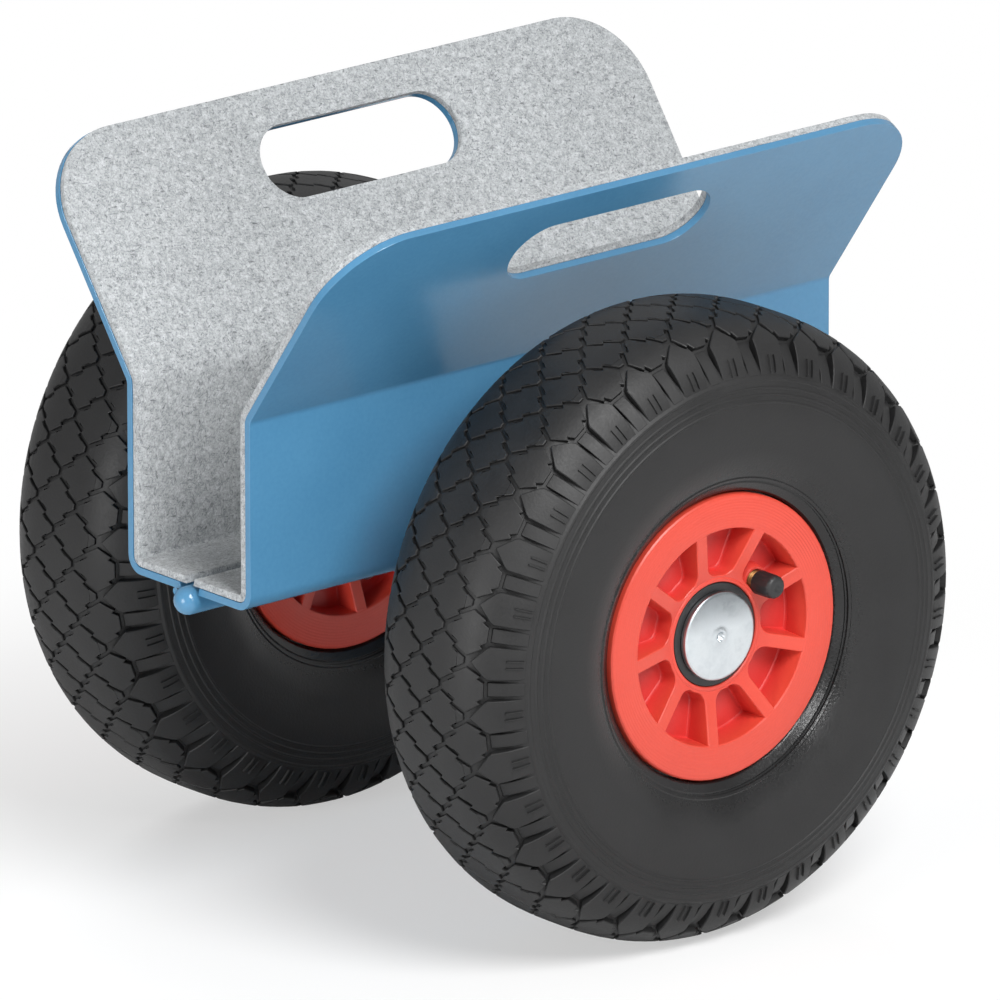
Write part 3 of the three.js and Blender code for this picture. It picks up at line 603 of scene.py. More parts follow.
def carcass():
    """The tyre under its lugs: groove floor, ribs on the sidewall, rim line and bead, turned as one ring."""
    section = [(s, -groove_floor(s)) for s in np.arange(0, LUG_END, 2.0)]
    section += [(LUG_END + 0.3, 0.0), (LUG_END + 1.0, 0.25), (LUG_END + 1.8, 0.25), (LUG_END + 2.2, 0.0)]
    for rib in (53.8, 56.6, 59.4):
        section += [(rib - 0.7, 0.0), (rib - 0.25, 0.35), (rib + 0.25, 0.35), (rib + 0.7, 0.0)]
    rim_line = ARC_END - 6.5
    section += [(s, 0.0) for s in np.arange(62.0, rim_line - 1.5, 2.5)]
    section += [(rim_line - 1.2, 0.0), (rim_line - 0.7, 0.5), (rim_line + 0.3, 0.5), (rim_line + 0.7, -0.5)]
    section += [(rim_line + 1.4, -0.4), (rim_line + 2.0, 0.0), (ARC_END - 1.0, -0.05), (ARC_END, -0.35)]
    outer = [on_curve(s, lift) for s, lift in section]
    bead = RIM_FACE - FLANGE_THICKNESS
    inside = [
        (RIM_R + 0.3, bead - 0.3), (BEAD_R + 0.3, bead - 0.3), (BEAD_R + 0.3, bead - 11), (BEAD_R + 6, bead - 11),
        (72, 34), (92, TYRE_HALF - 5), (108, 33), (117, 20), (TYRE_R - 10, 0),
    ]
    half = outer + inside
    mirrored = [(r, -y) for r, y in reversed(half[1:-1])]
    return turned(half + mirrored, steps=4 * LUGS)


def stepped_diamond():
    """Outline of one tread block: a diamond with a jog in each side, and blunt corners."""
    x, y = PITCH / 2, ROW_STEP
    corners = [Vector(c) for c in ((x, 0), (0, y), (-x, 0), (0, -y))]
    outline = []
    for k, start in enumerate(corners):
        side = corners[(k + 1) % 4] - start
        along = side.normalized()
        inward = Vector((-along.y, along.x))
        middle, end = side.length / 2, side.length - BLUNT
        out, back = GROOVE / 2 - JOG / 2, GROOVE / 2 + JOG / 2
        if k % 2 == 0:
            steps = [(BLUNT, back), (middle, out), (middle, back), (end, out)]
        else:
            steps = [(BLUNT, out), (middle, back), (middle, out), (end, back)]
        outline += [start + along * place + inward * depth for place, depth in steps]
    return outline


def top_rim(bm):
    return [e for e in corner_edges(bm) if all(v.co.z > -0.01 for v in e.verts)]


def tread_block(along, across, end=None):
    """One diamond of the tread; the outermost row is cut straight at its end."""
    bm = slab(stepped_diamond(), GROOVE_DEPTH + 1.2, across=(-8.0, -4.0, 0.0, 4.0, 8.0), along=(-9.0, -3.0, 3.0, 9.0))
    if end is not None:
        cut = bmesh.ops.bisect_plane(
            bm, geom=everything(bm), dist=0.001, plane_co=(0, end, 0), plane_no=(0, end, 0), clear_outer=True
        )
        bmesh.ops.holes_fill(bm, edges=[e for e in cut["geom_cut"] if isinstance(e, bmesh.types.BMEdge)])
    soften(bm, 0.4, 2, top_rim(bm), clamp=False)
    bmesh.ops.translate(bm, verts=bm.verts[:], vec=(along, across, 0))
    return wrap_on_tyre(bm)


def shoulder_lug(along, side):
    """The wide shoulder lug: it points into the tread between two diamonds and runs down the shoulder."""
    first = 2 * ROW_STEP
    flank = PITCH / 2 * (FIRST_ROW_END - first) / ROW_STEP - GROOVE * 0.7
    wide = flank + 0.9
    half = [(0.0, first + 1.6), (flank, FIRST_ROW_END), (wide, FIRST_ROW_END + 1.4), (wide, LUG_END)]
    outline = [(x, side * y) for x, y in half] + [(-x, side * y) for x, y in reversed(half[1:])]
    rows = [side * s for s in (28.5, 32.0, 35.5, 39.0, 42.5, 46.0)]
    bm = slab(outline, GROOVE_DEPTH + 1.0, rows, (-3.5, 0.0, 3.5))
    soften(bm, 0.35, 1, top_rim(bm))
    for place in (-1.65, 1.65):
        rib = bmesh.ops.create_cube(bm, size=1.0)["verts"]
        bmesh.ops.scale(bm, verts=rib, vec=(1.4, 7.2, 1.9))
        for vert in rib:
            vert.co.x *= 0.35 if vert.co.z > 0 else 1.0
        bmesh.ops.translate(bm, verts=rib, vec=(place, side * 44.2, -0.1))
        geom = [f for f in bm.faces if all(v in set(rib) for v in f.verts)]
        geom += list({e for f in geom for e in f.edges}) + rib
        for s in (42.5, 44.2, 46.0):
            bit = bmesh.ops.bisect_plane(
                bm, geom=geom, dist=0.001, plane_co=(0, side * s, 0), plane_no=(0, 1, 0)
            )
            geom = bit["geom"]
    bmesh.ops.translate(bm, verts=bm.verts[:], vec=(along, 0, 0))
    return wrap_on_tyre(bm, lambda s, lift: lift - max(0.0, s - 44.0) * 0.03)


def shoulder_facet(along, side):
    """The narrow flat facet beyond each outermost diamond."""
    start = FIRST_ROW_END + 1.3
    half_width = 3.2
    outline = [(-half_width, side * start), (half_width, side * start)]
    outline += [(half_width, side * LUG_END), (-half_width, side * LUG_END)]
    bm = slab(outline, GROOVE_DEPTH + 1.0, [side * s for s in (36.5, 40.0, 43.0, 46.0)], (0.0,))
    soften(bm, 0.3, 1, top_rim(bm))
    bmesh.ops.translate(bm, verts=bm.verts[:], vec=(along, 0, 0))
    sink = FACET_SINK / (LUG_END - start)
    return wrap_on_tyre(bm, lambda s, lift: lift - (LUG_END - s) * sink)


def tread():
    """One pitch of blocks and lugs, then copies all round the tyre."""
    bm = bmesh.new()
    room = FIRST_ROW_END - 2 * ROW_STEP
    for row in range(-2, 3):
        end = {-2: -room, 2: room}.get(row)
        gather(bm, tread_block(PITCH / 2 * (row % 2), row * ROW_STEP, end))
    for side in (-1, 1):
        gather(bm, shoulder_lug(PITCH / 2, side))
        gather(bm, shoulder_facet(0.0, side))
    turn = FULL_TURN / LUGS
    bmesh.ops.spin(
        bm, geom=everything(bm), cent=(0, 0, 0), axis=(0, 1, 0), angle=-turn * (LUGS - 1), steps=LUGS - 1,
        use_duplicate=True,
    )
    return bm


# Rim half: one sector with its pocket, then copies round the hub. Built with the face up and laid over.


def face_height(radius):
    """Height of the rim's face: the lip, a faint dish, then the spokes' slope down to the hub."""
    return float(np.interp(radius, [HUB_R, POCKET_R, RIM_R - 1.5], [HUB_FACE, RIM_FACE - FACE_DISH, RIM_FACE]))


def polar(radius, angle, height=0.0):
    return Vector((radius * math.cos(angle), radius * math.sin(angle), height))


def spoke_edge(radius):
    """Half angle of a pocket at some radius, beside spokes of one width."""
    return SECTOR / 2 - math.asin(SPOKE_WIDTH / 2 / radius)


def pocket_face(bm):
    """The pocket's outline as a face: sharp corners at the barrel, round ones at the spokes' roots."""
    inner = HUB_R + 0.6
    outer_half, inner_half = spoke_edge(POCKET_R), spoke_edge(inner)
    outer = [polar(POCKET_R, a) for a in np.linspace(-outer_half, outer_half, 8)]
    root = [polar(inner, a) for a in (inner_half, 0.0, -inner_half)]
    verts = [bm.verts.new(p) for p in outer + root]
    bm.faces.new(verts)
    bmesh.ops.bevel(
        bm, geom=[verts[8], verts[10]], offset=4.5, offset_type="OFFSET", affect="VERTICES", segments=8,
        profile=0.5, material=-1, clamp_overlap=True,
    )
    return bm.faces[:][0]


ARC_STEPS = 8


def arc_edges(bm, radius, height):
    verts = [
        bm.verts.new(polar(radius, SECTOR * (k / ARC_STEPS - 0.5), height)) for k in range(ARC_STEPS + 1)
    ]
    return [bm.edges.new(pair) for pair in zip(verts, verts[1:])]


def run_arcs(bm, edges, profile):
    """Runs an arc of edges through a profile of (radius, height), making a strip of faces each time."""
    for radius, height in profile:
        grown = bmesh.ops.extrude_edge_only(bm, edges=edges)["geom"]
        edges = [g for g in grown if isinstance(g, bmesh.types.BMEdge)]
        for vert in {v for e in edges for v in e.verts}:
            angle = math.atan2(vert.co.y, vert.co.x)
            vert.co = polar(radius, angle, height)
    return edges


def inset_rings(bm, face, steps):
    """Insets a face again and again: the rings of points from its outline to its middle."""
    rings = []
    for step in steps:
        before = {v.co.to_tuple(4) for v in face.verts}
        bmesh.ops.inset_region(bm, faces=[face], thickness=step, use_boundary=True, use_even_offset=True)
        rings.append([v for v in bm.verts if v.co.to_tuple(4) in before])
    return rings + [list(face.verts)]


def rim_half(pocket_depth):
    bm = bmesh.new()
    floor_height = RIM_FACE - pocket_depth
    rings = inset_rings(bm, pocket_face(bm), (0.2, 0.25, 0.6, 0.35, 0.4))
    first = set(rings[0])
    outline = [e for e in bm.edges if first.issuperset(e.verts)]
    depths = [0.0, -0.08, -0.4, None, None, None]
    rises = [None, None, None, 0.9, 0.25, 0.0]
    for ring, depth, rise in zip(rings, depths, rises):
        for vert in ring:
            radius = vert.co.xy.length
            vert.co.z = face_height(radius) + depth if rise is None else floor_height + rise
    spoke_lines = []
    outer_r = POCKET_R + 1.2
    outer = arc_edges(bm, outer_r, face_height(outer_r))
    hub = arc_edges(bm, HUB_R, HUB_FACE)
    for end in (0, -1):
        hub_vert = min((v for e in (hub[end],) for v in e.verts), key=lambda v: -abs(math.atan2(v.co.y, v.co.x)))
        out_vert = min((v for e in (outer[end],) for v in e.verts), key=lambda v: -abs(math.atan2(v.co.y, v.co.x)))
        spoke_lines.append(bm.edges.new((hub_vert, out_vert)))
    split = bmesh.ops.subdivide_edges(bm, edges=spoke_lines, cuts=7)
    sides = [g for g in split["geom_split"] if isinstance(g, bmesh.types.BMEdge)]
    sides = list({e for e in sides + spoke_lines if e.is_valid and not e.link_faces})
    bmesh.ops.triangle_fill(bm, edges=outline + outer + hub + sides, use_beauty=True, normal=(0, 0, 1))
    lip = [(RIM_R - 1.6, RIM_FACE), (RIM_R - 0.7, RIM_FACE - 0.25), (RIM_R - 0.15, RIM_FACE - 0.8)]
    lip += [(RIM_R, RIM_FACE - 1.6), (RIM_R, RIM_FACE - FLANGE_THICKNESS), (BEAD_R, RIM_FACE - FLANGE_THICKNESS)]
    run_arcs(bm, outer, lip + [(BEAD_R, RIM_SPLIT), (BUSH_BORE_R, RIM_SPLIT)])
    recess = BUSH_R + 0.3
    recess_floor = HUB_FACE - BUSH_FLANGE - 0.3
    run_arcs(
        bm, hub,
        [(HUB_R - 0.5, HUB_FACE + 0.25), (recess + 0.35, HUB_FACE + 0.25), (recess, HUB_FACE - 0.1),
         (recess, recess_floor), (BUSH_BORE_R, recess_floor), (BUSH_BORE_R, RIM_SPLIT)],
    )
    bmesh.ops.spin(
        bm, geom=everything(bm), cent=(0, 0, 0), axis=(0, 0, 1), angle=-SECTOR * (SPOKES - 1), steps=SPOKES - 1,
        use_duplicate=True,
    )
    bmesh.ops.rotate(
        bm, verts=bm.verts[:], cent=(0, 0, 0), matrix=Matrix.Rotation(FIRST_POCKET, 3, "Z")
    )
    for vert in bm.verts:
        vert.co = (vert.co.x, vert.co.z, vert.co.y)
    return closed_up(bm)


# Hub, axle and valve


def bushing():
    under = HUB_FACE - BUSH_FLANGE
    bore = AXLE_R + 0.3
    bm = turned([
        (bore, HUB_FACE - 22), (BUSH_BORE_R - 0.3, HUB_FACE - 22), (BUSH_BORE_R - 0.3, under), (BUSH_R, under),
        (BUSH_R, HUB_FACE), (bore + 2.9, HUB_FACE), (bore + 2.9, HUB_FACE - 8), (bore, HUB_FACE - 8),
    ])
    return soften(bm, 0.4)


def push_cap():
    """The pressed cap on the axle's end, with a rolled edge and a centre punch in a raised crater."""
    face, back = cap_high.y + 0.6, cap_high.y - 2.5
    grip = AXLE_R + 0.3
    bm = turned([
        (0, face - 1.5), (0.8, face - 1.3), (1.5, face - 0.5), (2.0, face + 0.25), (2.6, face + 0.4),
        (3.3, face + 0.2), (4.0, face - 0.08), (5.0, face - 0.02), (CAP_R - 1.3, face), (CAP_R - 0.6, face - 0.12),
        (CAP_R - 0.15, face - 0.5), (CAP_R, face - 1.1), (CAP_R, back + 0.5), (CAP_R - 0.15, back + 0.1),
        (CAP_R - 0.6, back), (grip + 2.6, back), (grip + 2.6, cap_low.y),
        (grip, cap_low.y), (grip, back + 0.3), (0, back + 0.3),
    ])
    return on_axle(bm)


def stub_axle():
    bm = turned([(0, axle_low.y), (AXLE_R, axle_low.y), (AXLE_R, axle_high.y), (0, axle_high.y)], steps=48)
    return on_axle(soften(bm, 1.0))


def axle_sleeve():
    bore = AXLE_R + 0.3
    bm = turned([
        (bore, spacer_low.y), (SPACER_R, spacer_low.y), (SPACER_R, spacer_high.y), (bore, spacer_high.y),
    ], steps=48)
    return on_axle(soften(bm, 0.6))


def at_valve(bm):
    place = polar(VALVE_CIRCLE / 2, VALVE_ANGLE)
    bmesh.ops.translate(bm, verts=bm.verts[:], vec=(place.x, WHEEL_Y, place.y + AXLE_Z))
    return bm


def dust_cap():
    """The valve's dust cap: a short fluted barrel with a round shoulder and a dimple in its end."""
    tip = valve_high.y - WHEEL_Y
    base = valve_low.y - WHEEL_Y
    r = (valve_high.x - valve_low.x) / 2
    bm = turned([
        (0, tip - 0.5), (0.9, tip - 0.45), (1.5, tip - 0.05), (r - 2.0, tip), (r - 1.0, tip - 0.3),
        (r - 0.35, tip - 0.95), (r - 0.1, tip - 1.9), (r, base + 1.4), (r, base + 0.5), (r - 0.4, base),
        (r - 1.2, base), (r - 1.2, tip - 4), (0, tip - 4),
    ], steps=60)
    for vert in bm.verts:
        ring = Vector((vert.co.x, vert.co.z)).length
        if base + 1.0 < vert.co.y < tip - 0.9 and ring > r - 0.5:
            angle = math.atan2(vert.co.z, vert.co.x)
            depth = 1 - 0.05 * (0.5 + 0.5 * math.cos(15 * angle))
            vert.co.x *= depth
            vert.co.z *= depth
    return at_valve(bm)


def valve_thread():
    """The threaded brass sleeve between the pocket's floor and the dust cap."""
    start = RIM_FACE - OUTER_POCKET_DEPTH - 0.5
    end = valve_low.y - WHEEL_Y + 0.4
    turns = 8
    pitch = (end - start) / turns
    profile = [(3.85, start)]
    for k in range(turns):
        profile += [(4.0, start + k * pitch), (4.35, start + (k + 0.35) * pitch), (4.35, start + (k + 0.6) * pitch)]
    return at_valve(turned(profile + [(4.0, end), (3.85, end)], 36))


def valve_collar():
    """The red boss round the valve, up from the pocket's floor."""
    floor = RIM_FACE - OUTER_POCKET_DEPTH - 0.4
    top = valve_low.y - WHEEL_Y - 2.2
    bm = turned([(4.5, floor), (7.0, floor), (6.2, top - 0.6), (5.7, top), (4.9, top), (4.5, top - 0.4)], 40)
    return at_valve(bm)


def rim_bolt(index):
    """A pan-head screw with a cross recess, in its pocket on the inner side."""
    low, high = box_mm(f"left_rim_screw_{index}")
    centre = (low + high) / 2
    head, shank = 5.0, 3.0
    face, seat, end = low.y, low.y + 4.0, high.y
    bm = turned([
        (0, face), (head - 2.4, face), (head - 1.0, face + 0.6), (head, face + 2.2), (head, seat), (shank, seat),
        (shank, end), (0, end),
    ], 36)
    soften(bm, 0.2)
    for turn in (0, math.pi / 2):
        bar = bmesh.new()
        bmesh.ops.create_cube(bar, size=1.0)
        bmesh.ops.scale(bar, verts=bar.verts[:], vec=(4.6, 0.5, 0.9))
        bmesh.ops.rotate(bar, verts=bar.verts[:], cent=(0, 0, 0), matrix=Matrix.Rotation(turn, 3, "Y"))
        bmesh.ops.translate(bar, verts=bar.verts[:], vec=(0, face - 0.05, 0))
        gather(bm, bar)
    bmesh.ops.translate(bm, verts=bm.verts[:], vec=(centre.x, 0, centre.z))
    return bm


# Jaws: a folded sheet, from the wing with its hand slot down to the bottom flange


def sheet_section(depth, start_y, step):
    """Points of the folded section at some depth inside its outer face, from the wing's bend to the flange."""
    upper = Vector((WALL_Y + BEND_R, CREASE_Z - BEND_R * math.tan(WING_TILT / 2)))
    lower = Vector((WALL_Y - BEND_R - SHEET, FLANGE_Z + BEND_R + SHEET))
    upper_r, lower_r = BEND_R + depth, BEND_R + SHEET - depth
    points = [upper + upper_r * Vector((-math.cos(a), math.sin(a))) for a in np.linspace(WING_TILT, 0, 9)]
    bend_end = lower + Vector((lower_r, 0))
    count = max(1, round((points[-1].y - bend_end.y) / step))
    points += [points[-1].lerp(bend_end, k / count) for k in range(1, count)]
    points += [lower + lower_r * Vector((math.cos(a), -math.sin(a))) for a in np.linspace(0, math.pi / 2, 9)]
    last = Vector((start_y, points[-1].y))
    count = max(1, round((points[-1].x - start_y) / step))
    points += [points[-1].lerp(last, k / count) for k in range(1, count + 1)]
    return points


def wing_outline(bm, step, trim):
    """The flat wing with round corners and its hand slot, in the plane of X and the distance from the crease."""
    bend_end = BEND_R * math.tan(WING_TILT / 2)
    end, top = HALF_LENGTH - trim, WING_LENGTH - trim
    corners = [(-end, bend_end), (end, bend_end), (end, top), (-end, top)]
    panel = [bm.verts.new((x, y, 0)) for x, y in corners]
    bm.faces.new(panel)
    half, rise = SLOT_LENGTH / 2, SLOT_HEIGHT / 2
    slot = [bm.verts.new((sx * half, SLOT_CENTRE + sy * rise, 0)) for sx, sy in ((-1, -1), (1, -1), (1, 1), (-1, 1))]
    bm.faces.new(slot)
    for rounded, radius in ((panel[2:], WING_CORNER), (slot, rise - 0.001)):
        bmesh.ops.bevel(
            bm, geom=rounded, offset=radius, offset_type="OFFSET", affect="VERTICES", segments=16, profile=0.5,
            material=-1, clamp_overlap=False,
        )
    bmesh.ops.delete(bm, geom=bm.faces[:], context="FACES_ONLY")
    bmesh.ops.remove_doubles(bm, verts=bm.verts[:], dist=0.05)
    for edge in bm.edges[:]:
        cuts = round(edge.calc_length() / step) - 1
        if cuts > 0:
            bmesh.ops.subdivide_edges(bm, edges=[edge], cuts=cuts)
    bmesh.ops.triangle_fill(bm, edges=bm.edges[:], use_beauty=True, normal=(0, 0, 1))
    return bend_end


def folded_sheet(depth, thickness, start_y, step, trim=0.0):
    """The wing, its bend, the wall, the lower bend and the flange as one sheet of some thickness."""
    bm = bmesh.new()
    bend_end = wing_outline(bm, step, trim)
    crease = [e for e in bm.edges if all(abs(v.co.y - bend_end) < 0.001 for v in e.verts)]
    along = Vector((0, math.sin(WING_TILT), math.cos(WING_TILT)))
    inward = Vector((0, -math.cos(WING_TILT), math.sin(WING_TILT)))
    origin = Vector((0, WALL_Y, CREASE_Z)) + inward * depth
    for vert in bm.verts:
        vert.co = origin + Vector((vert.co.x, 0, 0)) + along * vert.co.y
    section = sheet_section(depth, start_y, step)
    for point in section[1:]:
        grown = bmesh.ops.extrude_edge_only(bm, edges=crease)["geom"]
        crease = [g for g in grown if isinstance(g, bmesh.types.BMEdge)]
        for vert in {v for e in crease for v in e.verts}:
            vert.co.y, vert.co.z = point
    bmesh.ops.recalc_face_normals(bm, faces=bm.faces[:])
    wing = max(bm.faces, key=lambda f: f.calc_center_median().z)
    if wing.normal.dot(inward) < 0:
        bmesh.ops.reverse_faces(bm, faces=bm.faces[:])
    area = sum(f.calc_area() for f in bm.faces)
    drop = sum((b - a).length for a, b in zip(section, section[1:]))
    bmesh.ops.solidify(bm, geom=bm.faces[:], thickness=-thickness)
    return closed_up(bm), (2 * (HALF_LENGTH - trim), WING_LENGTH - trim - bend_end + drop), area


def slant_seam(bm, y, z):
    """Cuts the edge along the hinge at a slant, so that the halves can swing together."""
    cut = bmesh.ops.bisect_plane(
        bm, geom=everything(bm), dist=0.001, plane_co=(0, y, z),
        plane_no=(0, -math.cos(SEAM_CUT), math.sin(SEAM_CUT)), clear_outer=True,
    )
    bmesh.ops.holes_fill(bm, edges=[e for e in cut["geom_cut"] if isinstance(e, bmesh.types.BMEdge)])
    return closed_up(bm)


def jaw_sheet():
    bm, _, _ = folded_sheet(0.0, SHEET, jaw_low.y, HALF_LENGTH)
    slant_seam(bm, jaw_low.y, FLANGE_Z)
    return soften(bm, 0.55, 2, corner_edges(bm, math.radians(60)))


def felt_lining():
    """The felt: its cut edges wander a little, and they are softer than the sheet's."""
    bm, flat, area = folded_sheet(SHEET + GLUE_LINE, FELT, felt_low.y, 5.0, FELT_TRIM)
    slant_seam(bm, felt_low.y + FELT_TRIM, FLANGE_Z + SHEET + GLUE_LINE)
    soften(bm, 0.8, 2, corner_edges(bm, math.radians(60)))
    for vert in bm.verts:
        vert.co += noise.noise_vector(vert.co * 0.35) * 0.12
    return bm, flat, area


# Hinge barrels and welds


def hinge_barrel(node):
    low, high = box_mm(node)
    domed_low = abs(low.x) > abs(high.x)
    dome, mouth = (low.x, high.x) if (node.startswith("left") == domed_low) else (high.x, low.x)
    toward = math.copysign(1.0, mouth - dome)
    shoulder = dome + toward * BARREL_R
    arc = [(BARREL_R * math.sin(a), shoulder - toward * BARREL_R * math.cos(a)) for a in np.linspace(0, math.pi / 2, 8)]
    bm = turned(arc + [(BARREL_R, mouth - toward * 0.3), (BARREL_R - 0.3, mouth), (0, mouth)], 32)
    bmesh.ops.rotate(bm, verts=bm.verts[:], cent=(0, 0, 0), matrix=Matrix.Rotation(-math.pi / 2, 3, "Z"))
    bmesh.ops.translate(bm, verts=bm.verts[:], vec=(0, 0, HINGE_Z))
    return bm


def weld_bead(start, end, radius, ripple=2.2):
    """A painted weld bead: a round string whose girth ripples along its run."""
    run = end - start
    direction = run.normalized()
    steps = max(4, round(run.length / ripple * 4))
    bm = bmesh.new()
    ring = bmesh.ops.create_circle(bm, cap_ends=True, segments=10, radius=radius)
    facing = direction.to_track_quat("Z", "Y").to_matrix()
    bmesh.ops.rotate(bm, verts=ring["verts"], cent=(0, 0, 0), matrix=facing)
    bmesh.ops.translate(bm, verts=ring["verts"], vec=start)
    face = bm.faces[:][0]
    for k in range(1, steps + 1):
        grown = bmesh.ops.extrude_discrete_faces(bm, faces=[face])["faces"]
        face = grown[0]
        centre = start + run * (k / steps)
        fade = min(1.0, 4.0 * k / steps, 4.0 * (steps - k) / steps + 0.25)
        girth = radius * fade * (0.9 + 0.14 * math.sin(k * math.pi / 2) + 0.08 * noise.noise(centre))
        for vert in face.verts:
            offset = (vert.co - face.calc_center_median()).normalized()
            vert.co = centre + (offset - direction * offset.dot(direction)).normalized() * girth
    return bm


# Building the cart

for side in ("left", "right"):
    half, wheel = f"{side}_half", f"{side}_wheel"

    def add(bm, name, body, material, slot, *nodes, sharp=35):
        names = [f"{side}_{node}" for node in nodes]
        return make_piece(bm, f"{side}_{name}", body, material, names, side, math.radians(sharp))

    add(jaw_sheet(), "jaw_sheet", half, PAINT, "blue_paint", "jaw", sharp=20)
    lining, (width, length), area = felt_lining()
    lining = add(lining, "felt_lining", half, FELT_GREY, "grey_felt", "felt", sharp=25)
    add(stub_axle(), "stub_axle", half, STEEL, "bare_steel", "axle")
    add(axle_sleeve(), "axle_sleeve", half, STEEL, "bare_steel", "spacer")
    add(push_cap(), "push_cap", half, ZINC, "zinc_plate", "axle_cap")

    tyre = gather(carcass(), tread())
    add(on_wheel(tyre), "tyre_rubber", wheel, RUBBER, "tread_rubber", "tyre", sharp=18)
    add(on_wheel(rim_half(OUTER_POCKET_DEPTH)), "rim_outside", wheel, RED, "red_plastic", "rim_outer", sharp=20)
    inner_rim = rim_half(INNER_POCKET_DEPTH)
    for vert in inner_rim.verts:
        vert.co.y = -vert.co.y
    add(on_wheel(inner_rim), "rim_inside", wheel, RED, "red_plastic", "rim_inner", sharp=20)
    add(on_wheel(bushing()), "bushing_outside", wheel, BLACK, "black_plastic", "bush_outer")
    add(on_wheel(turn_over(bushing())), "bushing_inside", wheel, BLACK, "black_plastic", "bush_inner")
    add(dust_cap(), "dust_cap", wheel, BLACK, "black_plastic", "valve_cap")
    add(valve_thread(), "valve_thread", wheel, BRASS, "valve_brass")
    add(valve_collar(), "valve_collar", wheel, RED, "red_plastic")
    for k in (1, 2, 3):
        add(rim_bolt(k), f"rim_bolt_{k}", wheel, STEEL, "bare_steel", f"rim_screw_{k}")

for side in ("left", "right"):
    for end in ("front", "rear"):
        node = f"{side}_{end}_knuckle"
        make_piece(hinge_barrel(node), f"{side}_{end}_barrel", f"{side}_half", PAINT, [node])
        low, high = box_mm(node)
        toward = 1 if side == "left" else -1
        seam_y = toward * math.sqrt(BARREL_R**2 - (HINGE_Z - FLANGE_Z) ** 2)
        seam = [Vector((x, seam_y + toward * 0.4, FLANGE_Z - 0.3)) for x in (low.x + 4, high.x - 4)]
        make_piece(
            weld_bead(seam[0], seam[1], 1.7), f"{side}_{end}_barrel_weld", f"{side}_half", PAINT
        )
    for edge in (-1, 1):
        toward = 1 if side == "left" else -1
        x = edge * (carrier_high.x + 0.6)
        seam = [Vector((x, toward * y, FLANGE_Z - 0.4)) for y in (carrier_low.y + 9, WALL_Y - 9)]
        name = "front" if edge < 0 else "rear"
        make_piece(
            weld_bead(seam[0], seam[1], 2.4), f"{side}_carrier_weld_{name}", f"{side}_half", PAINT
        )
    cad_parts[f"{side}_axle_carrier"].data.materials.clear()
    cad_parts[f"{side}_axle_carrier"].data.materials.append(PAINT)
    for node, material in (("inner_tube", TUBE), ("valve_stem", BRASS)):
        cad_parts[f"{side}_{node}"].data.materials.clear()
        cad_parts[f"{side}_{node}"].data.materials.append(material)
for end in ("front", "rear"):
    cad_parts[f"{end}_hinge_pin"].data.materials.clear()
    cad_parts[f"{end}_hinge_pin"].data.materials.append(STEEL)


# Stage: a pale floor, soft lamps and the camera


def pale_floor():
    """A floor that is white to the eye, with a light shadow near the cart."""
    bm = bmesh.new()
    bmesh.ops.create_grid(bm, x_segments=1, y_segments=1, size=30.0)
    mesh = bpy.data.meshes.new("floor")
    bm.to_mesh(mesh)
    bm.free()
    material = bpy.data.materials.new("Pale floor")
    material.use_nodes = True
    nodes, links = material.node_tree.nodes, material.node_tree.links
    seen, bounce, white = nodes["Principled BSDF"], nodes.new("ShaderNodeBsdfPrincipled"), nodes.new("ShaderNodeEmission")
    for shader, shade in ((seen, 0.97), (bounce, 0.95)):
        shader.inputs["Base Color"].default_value = (shade, shade, shade, 1)
        shader.inputs["Roughness"].default_value = 0.9
        shader.inputs["Specular IOR Level"].default_value = 0.0
    coords, reach = nodes.new("ShaderNodeTexCoord"), nodes.new("ShaderNodeVectorMath")
    reach.operation = "LENGTH"
    links.new(coords.outputs["Object"], reach.inputs[0])
    fade = nodes.new("ShaderNodeMapRange")
    fade.interpolation_type = "SMOOTHSTEP"
    for label, number in (("From Min", 0.12), ("From Max", 0.5), ("To Min", 0.5), ("To Max", 1.0)):
        fade.inputs[label].default_value = number
    links.new(reach.outputs["Value"], fade.inputs["Value"])
    ground, surface = nodes.new("ShaderNodeMixShader"), nodes.new("ShaderNodeMixShader")
    links.new(fade.outputs["Result"], ground.inputs["Fac"])
    links.new(seen.outputs["BSDF"], ground.inputs[1])
    links.new(white.outputs["Emission"], ground.inputs[2])
    path = nodes.new("ShaderNodeLightPath")
    links.new(path.outputs["Is Camera Ray"], surface.inputs["Fac"])
    links.new(bounce.outputs["BSDF"], surface.inputs[1])
    links.new(ground.outputs["Shader"], surface.inputs[2])
    links.new(surface.outputs["Shader"], nodes["Material Output"].inputs["Surface"])
    mesh.materials.append(material)
    floor = bpy.data.objects.new("floor", mesh)
    bpy.context.scene.collection.objects.link(floor)


def soft_lamp(name, place, size, power, lights_surfaces=True, is_mirrored=True):
    """A round lamp turned to the cart, that can be kept to the plain light or to the reflections."""
    lamp = bpy.data.lights.new(name, "AREA")
    lamp.shape = "DISK"
    lamp.size = size
    lamp.energy = power
    obj = bpy.data.objects.new(name, lamp)
    bpy.context.scene.collection.objects.link(obj)
    obj.visible_diffuse = lights_surfaces
    obj.visible_glossy = is_mirrored
    obj.location = place
    obj.rotation_euler = (Vector((0, 0, 0.15)) - Vector(place)).to_track_quat("-Z", "Y").to_euler()


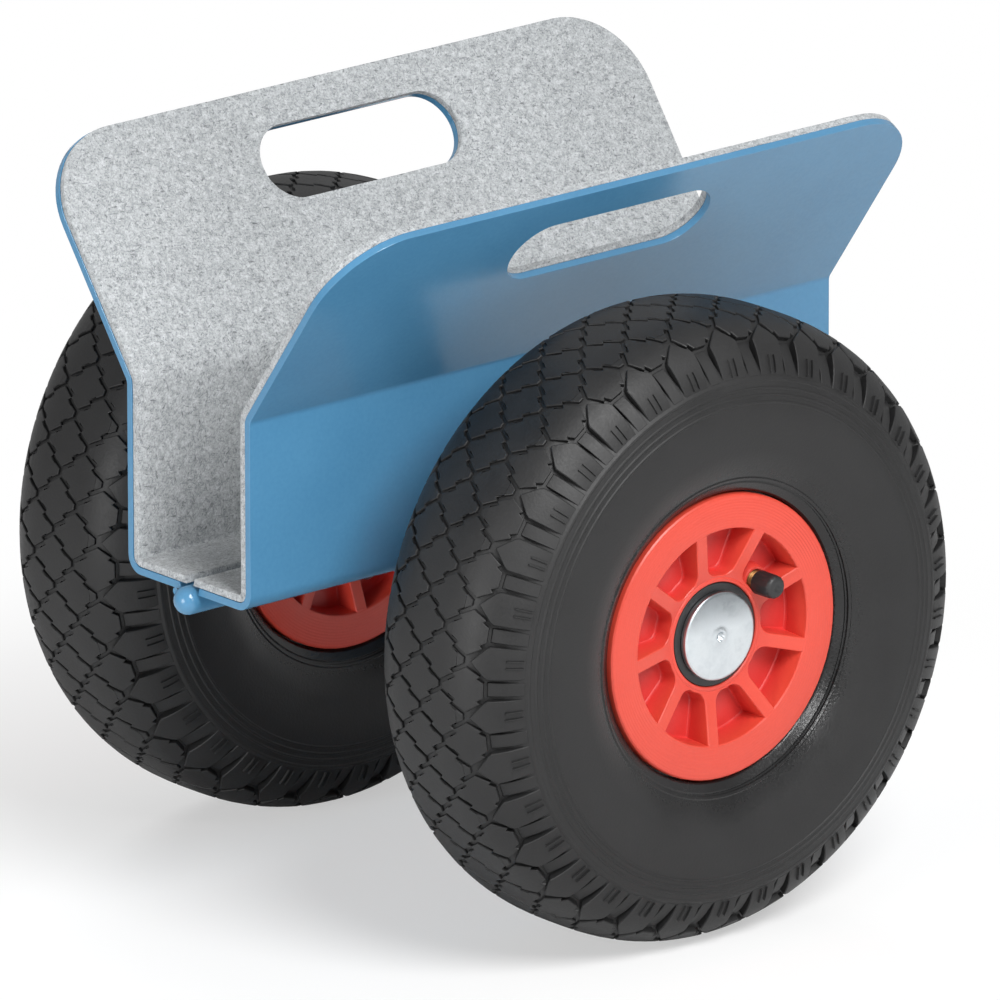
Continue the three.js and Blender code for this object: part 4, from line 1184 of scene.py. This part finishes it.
def white_room():
    """White behind the cart for the camera, less in reflections, and a dimmer even light for the rest."""
    world = bpy.data.worlds.new("Studio")
    world.use_nodes = True
    nodes, links = world.node_tree.nodes, world.node_tree.links
    around, mirrored, behind = nodes["Background"], nodes.new("ShaderNodeBackground"), nodes.new("ShaderNodeBackground")
    for background, strength in ((around, 0.25), (mirrored, 0.6), (behind, 1.0)):
        background.inputs["Color"].default_value = (1, 1, 1, 1)
        background.inputs["Strength"].default_value = strength
    path = nodes.new("ShaderNodeLightPath")
    shiny, seen = nodes.new("ShaderNodeMixShader"), nodes.new("ShaderNodeMixShader")
    links.new(path.outputs["Is Glossy Ray"], shiny.inputs["Fac"])
    links.new(around.outputs["Background"], shiny.inputs[1])
    links.new(mirrored.outputs["Background"], shiny.inputs[2])
    links.new(path.outputs["Is Camera Ray"], seen.inputs["Fac"])
    links.new(shiny.outputs["Shader"], seen.inputs[1])
    links.new(behind.outputs["Background"], seen.inputs[2])
    links.new(seen.outputs["Shader"], nodes["World Output"].inputs["Surface"])
    bpy.context.scene.world = world


def photo_camera():
    azimuth, elevation, roll = math.radians(-40.580), math.radians(17.410), math.radians(-0.124)
    back = Vector((
        math.sin(azimuth) * math.cos(elevation), -math.cos(azimuth) * math.cos(elevation), math.sin(elevation)
    ))
    level = Vector((math.cos(azimuth), math.sin(azimuth), 0))
    upright = back.cross(level)
    right = math.cos(roll) * level + math.sin(roll) * upright
    up = math.cos(roll) * upright - math.sin(roll) * level
    data = bpy.data.cameras.new("camera")
    data.sensor_width = 36.0
    data.lens = 787.66
    data.clip_end = 100.0
    camera = bpy.data.objects.new("camera", data)
    bpy.context.scene.collection.objects.link(camera)
    rotation = Matrix((right, up, back)).transposed().to_4x4()
    camera.matrix_world = Matrix.Translation((-5.46701, -6.39465, 2.79041)) @ rotation
    bpy.context.scene.camera = camera


pale_floor()
white_room()
soft_lamp("key", (-0.3, -1.75, 1.88), 1.25, 62)
soft_lamp("side", (-2.2, -0.35, 0.45), 1.0, 22)
soft_lamp("back", (0.9, 2.0, 1.5), 1.2, 20, is_mirrored=False)
soft_lamp("front", (-0.1, -2.6, 0.85), 0.4, 12, lights_surfaces=False)
photo_camera()
bpy.context.scene.view_settings.view_transform = "Standard"
